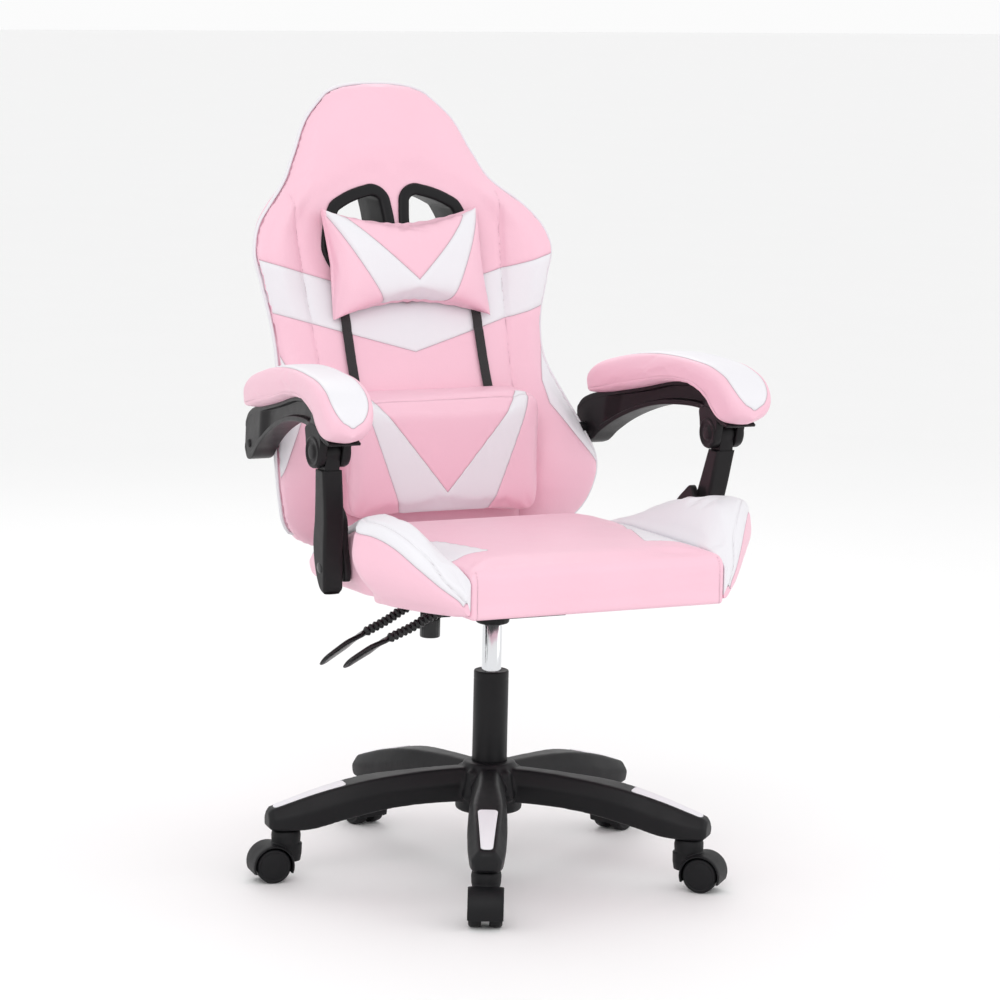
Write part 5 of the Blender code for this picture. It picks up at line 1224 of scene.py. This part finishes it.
KNUCKLE = along(np.vstack([circle_line(HINGE, 0.0185, 12)[[11, 0, 1, 2, 3, 4, 5, 6, 7]],
                           [(-0.1180, 0.6120), (-0.1165, 0.6030), (-0.0930, 0.6030), (-0.0915, 0.6120)]]), 72,
                closed=True)
FOOT = along([(-0.078, 0.448), (-0.060, 0.449), (-0.034, 0.462), (-0.024, 0.484), (-0.026, 0.508),
              (-0.042, 0.530), (-0.060, 0.546), (-0.076, 0.556), (-0.088, 0.545), (-0.086, 0.500)], 96,
             closed=True)
for side, word in ((1, "left"), (-1, "right")):
    post = skin(f"post_{word}", capped(post_rings(side), (0, 0, -0.001), (0, 0, 0.0005), 4))
    put(post, ARM_PLASTIC, f"arm_post_{word}", [f"arm_post_{word}"])
    knuckle = plate(f"post_knuckle_{word}", KNUCKLE, side * ARM_X - 0.0108, side * ARM_X + 0.0108, 0.0010)
    put(knuckle, ARM_PLASTIC, f"arm_post_{word}")
    foot_x = sorted((side * 0.2609, side * 0.2705))
    foot = plate(f"post_foot_{word}", FOOT, foot_x[0], foot_x[1], 0.0014, lambda z: side * 0.12 * (z - 0.448))
    put(foot, ARM_PLASTIC, "seat", [f"arm_foot_{word}"])
    cap = turned(f"post_cap_{word}", [(-0.004, 0.0085), (0.0002, 0.0083), (0.0010, 0.0070), (0.0014, 0.0040),
                                      (0.0015, 0.0004)],
                 (side * (ARM_X - 0.0171 + 0.0146), -0.075, 0.470), (side, 0, 0), 40)
    put(cap, GLOSS_BLACK, f"arm_post_{word}")
print("arms and posts done")

# %% [markdown]
# ## Levers
# Each lever is one run: a rod out of the housing, a ribbed rubber sleeve, and a flat paddle. The sleeve's
# ribs are a cosine in the radius, which a screw or an array would need far more steps to make.

# %% Levers
def lever(name, root, fall):
    """Superellipse sections along the lever's line; (out, drop) stations give the line."""
    line = along([(0.0, 0.0), (0.022, 0.0005), (0.040, 0.0065), (0.070, 0.0225), (0.104, 0.0380),
                  (0.126, 0.0495), (0.160, 0.0700), (0.1745, 0.0795)], 420)
    out, drop = line[:, 0], line[:, 1] * fall
    far = np.concatenate([[0.0], np.cumsum(np.linalg.norm(np.diff(line, axis=0), axis=1))])
    sleeve = step_up(far, 0.0235, 0.0250) * (1 - step_up(far, 0.1130, 0.1145))
    rib = 0.5 - 0.5 * np.cos(2 * np.pi * (far - 0.0245) / 0.0074)
    taper = 1 - 0.12 * step_up(far, 0.03, 0.11)
    half = 0.0043 + sleeve * (0.0012 + 0.0021 * rib ** 0.8) * taper
    thick = half.copy()
    paddle = step_up(far, 0.1120, 0.1240)
    end = 1 - eased(far[-1] - far, 0.016) / 0.016
    half = half * (1 - paddle) + paddle * (0.0105 + 0.0030 * step_up(far, 0.12, 0.15)) * np.maximum(end, 0.05)
    thick = thick * (1 - paddle) + paddle * (0.0038 - 0.0008 * step_up(far, 0.14, 0.19)) * np.maximum(end,
                                                                                                      0.3)
    run = np.gradient(np.stack([-out, -drop], 1), axis=0)
    run /= np.linalg.norm(run, axis=1)[:, None]
    angle = np.linspace(0, 2 * np.pi, 40, endpoint=False)
    power = 1 - 0.45 * paddle[:, None]
    a = half[:, None] * np.sign(np.cos(angle)) * np.abs(np.cos(angle)) ** power
    b = thick[:, None] * np.sign(np.sin(angle)) * np.abs(np.sin(angle)) ** power
    hollow = 0.0010 * paddle * step_up(far, 0.13, 0.15)
    b = b + hollow[:, None] * (1 - (a / half[:, None]) ** 2) * (b < 0)
    twist = 0.62 * step_up(far, 0.100, 0.150)[:, None]
    a, b = a * np.cos(twist) - b * np.sin(twist), a * np.sin(twist) + b * np.cos(twist)
    rings = np.stack([root[0] - out[:, None] - run[:, 1:] * b, root[1] + a,
                      root[2] - drop[:, None] + run[:, :1] * b], -1)
    return skin(name, rings)


root_x = -(0.070 + 0.0003 + 0.0045)
for name, y, fall in (("height_lever", -0.035, 0.86), ("recline_lever", 0.044, 1.0)):
    put(lever(f"{name}_skin", (root_x, y, 0.388), fall), GLOSS_BLACK, name, [name])

# %% [markdown]
# ## Knob, gas lift and collar
# Turned parts: the profile is the whole description.

# %% Turned parts
angle = np.linspace(0, 2 * np.pi, 160, endpoint=False)
knob_profile = [(0.3440, 0.0100), (0.3440, 0.0124), (0.3446, 0.0138), (0.3460, 0.0145), (0.3690, 0.0145),
                (0.3712, 0.0142), (0.3720, 0.0132), (0.3720, 0.0110)]
flute = 1 - 0.022 * (0.5 + 0.5 * np.cos(20 * angle)) ** 3
knob_rings = []
for z, r in knob_profile:
    grip = flute if r > 0.0140 else 1.0
    knob_rings.append(np.stack([-0.095 + r * grip * np.cos(angle), 0.008 + r * grip * np.sin(angle),
                                np.full_like(angle, z)], 1))
put(skin("knob_skin", capped(knob_rings)), GLOSS_BLACK, "tension_knob", ["tension_knob"])

tube_profile = [(0.0520, 0.0225), (0.0520, 0.0238), (0.0532, 0.0250), (0.2780, 0.0250), (0.2792, 0.0247),
                (0.2804, 0.0250), (0.2896, 0.0250), (0.2910, 0.0244), (0.2915, 0.0232), (0.2910, 0.0222),
                (0.2902, 0.0160), (0.2902, 0.0146)]
put(turned("tube_skin", tube_profile, (0, 0, 0), (0, 0, 1), 96), POWDER_COAT, "root",
    ["gas_tube", "tube_bush"])
cylinder_profile = [(0.1520, 0.0130), (0.1530, 0.0140), (0.3905, 0.0140), (0.3910, 0.0134)]
put(turned("cylinder_skin", cylinder_profile, (0, 0, 0), (0, 0, 1), 96), CHROME, "lift", ["gas_cylinder"])

# %% [markdown]
# ## The star base
# A nylon base is one moulding with soft fillets where its legs run into the hub. The legs and the hub are
# made as separate lofts and fused by a voxel remesh, which rounds the joints as a mould does. The places
# for the white inserts are cut afterwards so that they stay crisp.

# %% Star base
YAW = math.radians(-27.0)
LEG_TURNS = [YAW - math.pi / 2 + 2 * math.pi * index / 5 for index in range(5)]
LEG_TOP = [(0.0, 0.1525), (0.060, 0.1522), (0.120, 0.1490), (0.195, 0.1408), (0.260, 0.1255),
           (0.3150, 0.1080), (0.329, 0.1035)]
LEG_UNDER = [(0.0, 0.104), (0.100, 0.104), (0.150, 0.100), (0.220, 0.0865), (0.272, 0.0752), (0.290, 0.0748),
             (0.329, 0.0750)]
LEG_WIDTHS = [(0.015, 0.012, 0.024, 0.022), (0.100, 0.0125, 0.025, 0.022), (0.195, 0.0195, 0.0280, 0.023),
              (0.250, 0.0170, 0.0282, 0.023), (0.318, 0.0120, 0.0225, 0.020), (0.329, 0.011, 0.0195, 0.017)]


def on_leg(rings, turn):
    """Rings of (reach, across, up) turned about the swivel axis."""
    c, s = math.cos(turn), math.sin(turn)
    x, y, z = rings[..., 0], rings[..., 1], rings[..., 2]
    return np.stack([c * x - s * y, s * x + c * y, z], -1)


def leg_rings(wall=0.0, reaches=np.linspace(0.015, 0.3285, 60)):
    """Six-sided sections of a leg, or of the hollow inside it where a wall is given."""
    top, under = curve(LEG_TOP, reaches) - 2.4 * wall, curve(LEG_UNDER, reaches)
    half_top, ridge, half_under = (curve(LEG_WIDTHS, reaches, k) for k in (1, 2, 3))
    if wall:
        under = under - 0.010
        corners = [(half_under - wall, under), (0.6 * (half_under - wall), top)]
    else:
        end = eased(0.3285 - reaches, 0.004)
        top = top - end
        corners = [(half_under - end, under + end), (ridge - end, under + 0.55 * (top - under)),
                   (half_top - end, top)]
    corners = corners + [(-a, b) for a, b in corners[::-1]]
    section = rounded_rings(np.stack([np.stack(pair, 1) for pair in corners], 1), 0.003, 3, 5)
    return np.stack([np.broadcast_to(reaches[:, None], section.shape[:2]), section[..., 0],
                     section[..., 1]], -1)


def merged(name, pieces):
    """Several pieces as one object."""
    shape = bmesh.new()
    for piece in pieces:
        shape.from_mesh(piece.data)
    mesh = bpy.data.meshes.new(name)
    shape.to_mesh(mesh)
    shape.free()
    for piece in pieces:
        bpy.data.objects.remove(piece)
    whole = bpy.data.objects.new(name, mesh)
    bpy.context.scene.collection.objects.link(whole)
    return whole


def subtract(piece, cutter):
    """An exact Boolean difference, baked."""
    cut = piece.modifiers.new("cut", "BOOLEAN")
    cut.operation, cut.solver, cut.object = "DIFFERENCE", "EXACT", cutter
    bake(piece)
    bpy.data.objects.remove(cutter)
    return piece


one_leg = subtract(skin("leg", leg_rings()), skin("hollow", leg_rings(0.005, np.linspace(0.060, 0.268, 24))))
legs = []
for turn in LEG_TURNS:
    copy = one_leg.copy()
    copy.data = one_leg.data.copy()
    bpy.context.scene.collection.objects.link(copy)
    points = read_points(copy.data) - SWIVEL
    write_points(copy.data, on_leg(points, turn) + SWIVEL)
    legs.append(copy)
bpy.data.objects.remove(one_leg)
hub = turned("hub", [(0.0880, 0.0260), (0.0880, 0.0440), (0.0900, 0.0470), (0.0930, 0.0480), (0.1150, 0.0470),
                     (0.1350, 0.0440), (0.1500, 0.0400), (0.1570, 0.0375), (0.1590, 0.0360), (0.1597, 0.0330),
                     (0.1597, 0.0260)], (0, 0, 0), (0, 0, 1), 96)
bosses = []
for turn in LEG_TURNS:
    middle = turn + math.pi / 5
    c, s = math.cos(middle), math.sin(middle)
    foot, head = np.array([0.051 * c, 0.051 * s, 0.112]), np.array([0.037 * c, 0.037 * s, 0.152])
    axis = (head - foot) / np.linalg.norm(head - foot)
    bosses.append(turned("boss", [(-0.004, 0.0035), (0.0, 0.0075), (0.010, 0.0090), (0.036, 0.0085),
                                  (0.041, 0.0050)], foot, axis, 24))
star = fused(merged("star_base_skin", legs + [hub] + bosses), 0.0025, 3, 0.5)
star.data.name = "star_base_skin"
subtract(star, turned("hub_bore", [(0.030, 0.0005), (0.030, 0.0256), (0.200, 0.0256), (0.200, 0.0005)],
                      (0, 0, 0), (0, 0, 1), 96))


def insert_rings(grow, depth, rise):
    """The insert's long rounded outline at three levels, following the leg's top."""
    reach = 0.2675 + (0.0515 + grow) * np.sin(np.linspace(-0.5, 0.5, 61) * np.pi)
    half = np.interp(reach, [0.216, 0.319], [0.0142, 0.0082]) + grow
    ends = np.minimum(reach - reach[0], reach[-1] - reach)
    half = half - 0.9 * eased(ends, 0.0060)
    top = curve(LEG_TOP, reach)
    section = [(-1.0, -depth), (-1.0, rise - 0.0004), (-0.95, rise), (-0.5, rise), (0.0, rise),
               (0.5, rise), (0.95, rise), (1.0, rise - 0.0004), (1.0, -depth), (0.5, -depth),
               (0.0, -depth), (-0.5, -depth)]
    across, up = np.array(section).T
    return np.stack([np.repeat(reach[:, None], len(across), 1), half[:, None] * across[None],
                     top[:, None] + up[None]], -1)


for index, turn in enumerate(LEG_TURNS):
    subtract(star, skin("insert_room", on_leg(insert_rings(0.0006, 0.0030, 0.012), turn)))
    insert = skin(f"insert_{index + 1}", on_leg(insert_rings(0.0, 0.0027, 0.0008), turn))
    put(insert, INSERT_WHITE, "root", [f"leg_trim_{index + 1}"])
star.data.shade_smooth()
star.data.set_sharp_from_angle(angle=math.radians(42))
put(star, NYLON, "root", ["star_base"])
print("star base:", len(star.data.polygons), "faces")

# %% [markdown]
# ## Casters
# A hood covers the tops of two wheels and holds their axle and the swivel stem. It is a rim swept over the
# wheels, a web between them and a neck on top, fused in one skin. The wheels are turned, with a shallow
# cover on the outside.

# %% Casters
CASTER_REACH, TRAIL, WHEEL_R = 0.300, 0.022, 0.025
HUB_HALF = 0.0047          # from the middle of the hood to a wheel's inner face


def hood_pieces():
    """The hood in the caster's own frame: stem axis at the origin, wheels trailing along +X."""
    sweep = np.radians(np.linspace(-22, 202, 60))
    outer, inner = WHEEL_R + 0.0047, WHEEL_R + 0.0018
    section = rounded_rings(np.array([[(0.0250, inner), (0.0250, outer - 0.0004), (0.0200, outer + 0.0002),
                                       (-0.0200, outer + 0.0002), (-0.0250, outer - 0.0004),
                                       (-0.0250, inner), (-0.0042, inner), (-0.0042, 0.0020),
                                       (0.0042, 0.0020), (0.0042, inner)]]), 0.0016, 4, 4)[0]
    x = TRAIL + section[None, :, 1] * np.cos(sweep)[:, None]
    z = WHEEL_R + section[None, :, 1] * np.sin(sweep)[:, None]
    y = np.broadcast_to(section[None, :, 0], x.shape)
    return np.stack([x, y, z], -1)


# a wheel's radius against the distance outwards, from its inner face to its cover
WHEEL_PROFILE = [(0.0008, 0.0040), (0.0008, 0.0225), (0.0016, 0.0244), (0.0040, 0.0249), (0.0140, 0.0249),
                 (0.0170, 0.0242), (0.0185, 0.0226), (0.0188, 0.0205), (0.0180, 0.0198), (0.0182, 0.0190),
                 (0.0192, 0.0150), (0.0198, 0.0070), (0.0199, 0.0006)]
shape = hood_pieces()
for index, turn in enumerate(LEG_TURNS):
    c, s = math.cos(turn), math.sin(turn)
    stem = np.array([CASTER_REACH * c, CASTER_REACH * s, 0.0])
    along_leg, across = np.array([c, s, 0.0]), np.array([-s, c, 0.0])
    arch = skin("arch", on_leg(shape, turn) + stem)
    axle = stem + along_leg * TRAIL + np.array([0.0, 0.0, WHEEL_R])
    collar = turned("block", [(0.0500, 0.0150), (0.0500, 0.0190), (0.0560, 0.0205), (0.0660, 0.0210),
                              (0.0716, 0.0200), (0.0736, 0.0175), (0.0736, 0.0060)], stem, (0, 0, 1), 48)
    neck = turned("neck", [(0.0290, 0.0010), (0.0290, 0.0170), (0.0400, 0.0188), (0.0540, 0.0190),
                           (0.0560, 0.0010)], stem - 0.004 * along_leg, (0, 0, 1), 48)
    for side in (-1, 1):
        for solid in (collar, neck):
            room = turned("room", [(side * 0.0043, 0.0005), (side * 0.0043, WHEEL_R + 0.0014),
                                   (side * 0.04, WHEEL_R + 0.0014), (side * 0.04, 0.0005)], axle, across, 64)
            subtract(solid, room)
    hood = fused(merged(f"hood_{index + 1}", [arch, collar, neck]), 0.0010, 3, 0.5)
    put(hood, WHEEL_PLASTIC, f"caster_{index + 1}", [f"caster_hood_{index + 1}"])
    for side, word in ((1, "a"), (-1, "b")):
        number = f"{index + 1}{word}"
        wheel = turned(f"wheel_{number}", WHEEL_PROFILE, axle + across * side * HUB_HALF, across * side, 72)
        put(wheel, WHEEL_PLASTIC, f"wheel_{number}", [f"caster_wheel_{number}"])
print("casters done, hood", len(hood.data.polygons), "faces")

# %% [markdown]
# ## The parts that stay as they are
# The mechanism, the seat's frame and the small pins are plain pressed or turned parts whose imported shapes
# are already right, so they only get a finish.

# %% Finishes on the kept parts
KEPT = {"mechanism_housing": POWDER_COAT, "seat_plate": POWDER_COAT, "seat_frame": POWDER_COAT,
        "gas_rod": CHROME, "thrust_bearing": STEEL, "tilt_pin": STEEL,
        "tension_spring": STEEL}
for item in bpy.data.objects:
    if item.name in KEPT and item.type == "MESH":
        for place in item.material_slots:
            place.material = KEPT[item.name]
print("kept parts:", len(KEPT))

# %% [markdown]
# ## Stage, light and camera
# A pale floor, a large soft light from above and two weaker ones from the sides, as in a product studio.

# %% Stage
bpy.ops.mesh.primitive_plane_add(size=60.0, location=(0, 0, 0))
floor = bpy.context.object
floor.name = "floor"
ground, tree, shader = new_material("floor_white", (0.93, 0.93, 0.93), 0.7)
shade = mixed(tree, noise(tree, object_place(tree), 3.0, 2.0), (0.925, 0.925, 0.925), (0.935, 0.935, 0.935))
tree.links.new(shade, shader.inputs["Base Color"])
floor.data.materials.append(ground)

bpy.context.scene.view_settings.view_transform = "Standard"
world = bpy.context.scene.world or bpy.data.worlds.new("studio")
bpy.context.scene.world = world
world.use_nodes = True
background = world.node_tree.nodes["Background"]
background.inputs["Color"].default_value = (1.0, 1.0, 1.0, 1.0)
background.inputs["Strength"].default_value = 0.97


def soft_light(name, place, aim, size, power):
    """A square area light that faces a point."""
    data = bpy.data.lights.new(name, "AREA")
    data.shape, data.size, data.energy = "SQUARE", size, power
    lamp = bpy.data.objects.new(name, data)
    bpy.context.scene.collection.objects.link(lamp)
    lamp.location = place
    lamp.rotation_euler = (Vector(aim) - Vector(place)).to_track_quat("-Z", "Y").to_euler()
    return lamp


soft_light("key", (-1.6, -2.6, 2.7), (0, 0, 0.6), 1.8, 26.0)
soft_light("fill", (2.8, -1.8, 1.6), (0, 0, 0.6), 2.2, 9.0)
soft_light("rim", (0.6, 2.4, 2.4), (0, 0, 0.7), 1.6, 12.0)

# %% [markdown]
# ## The camera
# A long lens at chest height, in front and to the sitter's right, slightly rolled. Its three axes are built
# from the yaw, the pitch and the roll.

# %% Camera
yaw, pitch, roll = math.radians(-26.96), math.radians(8.89), math.radians(1.30)
back = np.array([math.sin(yaw) * math.cos(pitch), -math.cos(yaw) * math.cos(pitch), math.sin(pitch)])
right = np.array([math.cos(yaw), math.sin(yaw), 0.0])
rise = np.cross(back, right)
turned_right = math.cos(roll) * right + math.sin(roll) * rise
turned_up = -math.sin(roll) * right + math.cos(roll) * rise
lens = bpy.data.cameras.new("camera")
lens.lens, lens.sensor_width = 140.2, 36.0
lens.clip_end = 60.0
camera = bpy.data.objects.new("camera", lens)
bpy.context.scene.collection.objects.link(camera)
axes = np.eye(4)
axes[:3, 0], axes[:3, 1], axes[:3, 2] = turned_right, turned_up, back
axes[:3, 3] = np.array([-2.472, -4.875, 1.392]) + SWIVEL
camera.matrix_world = Matrix(axes.tolist())
bpy.context.scene.camera = camera
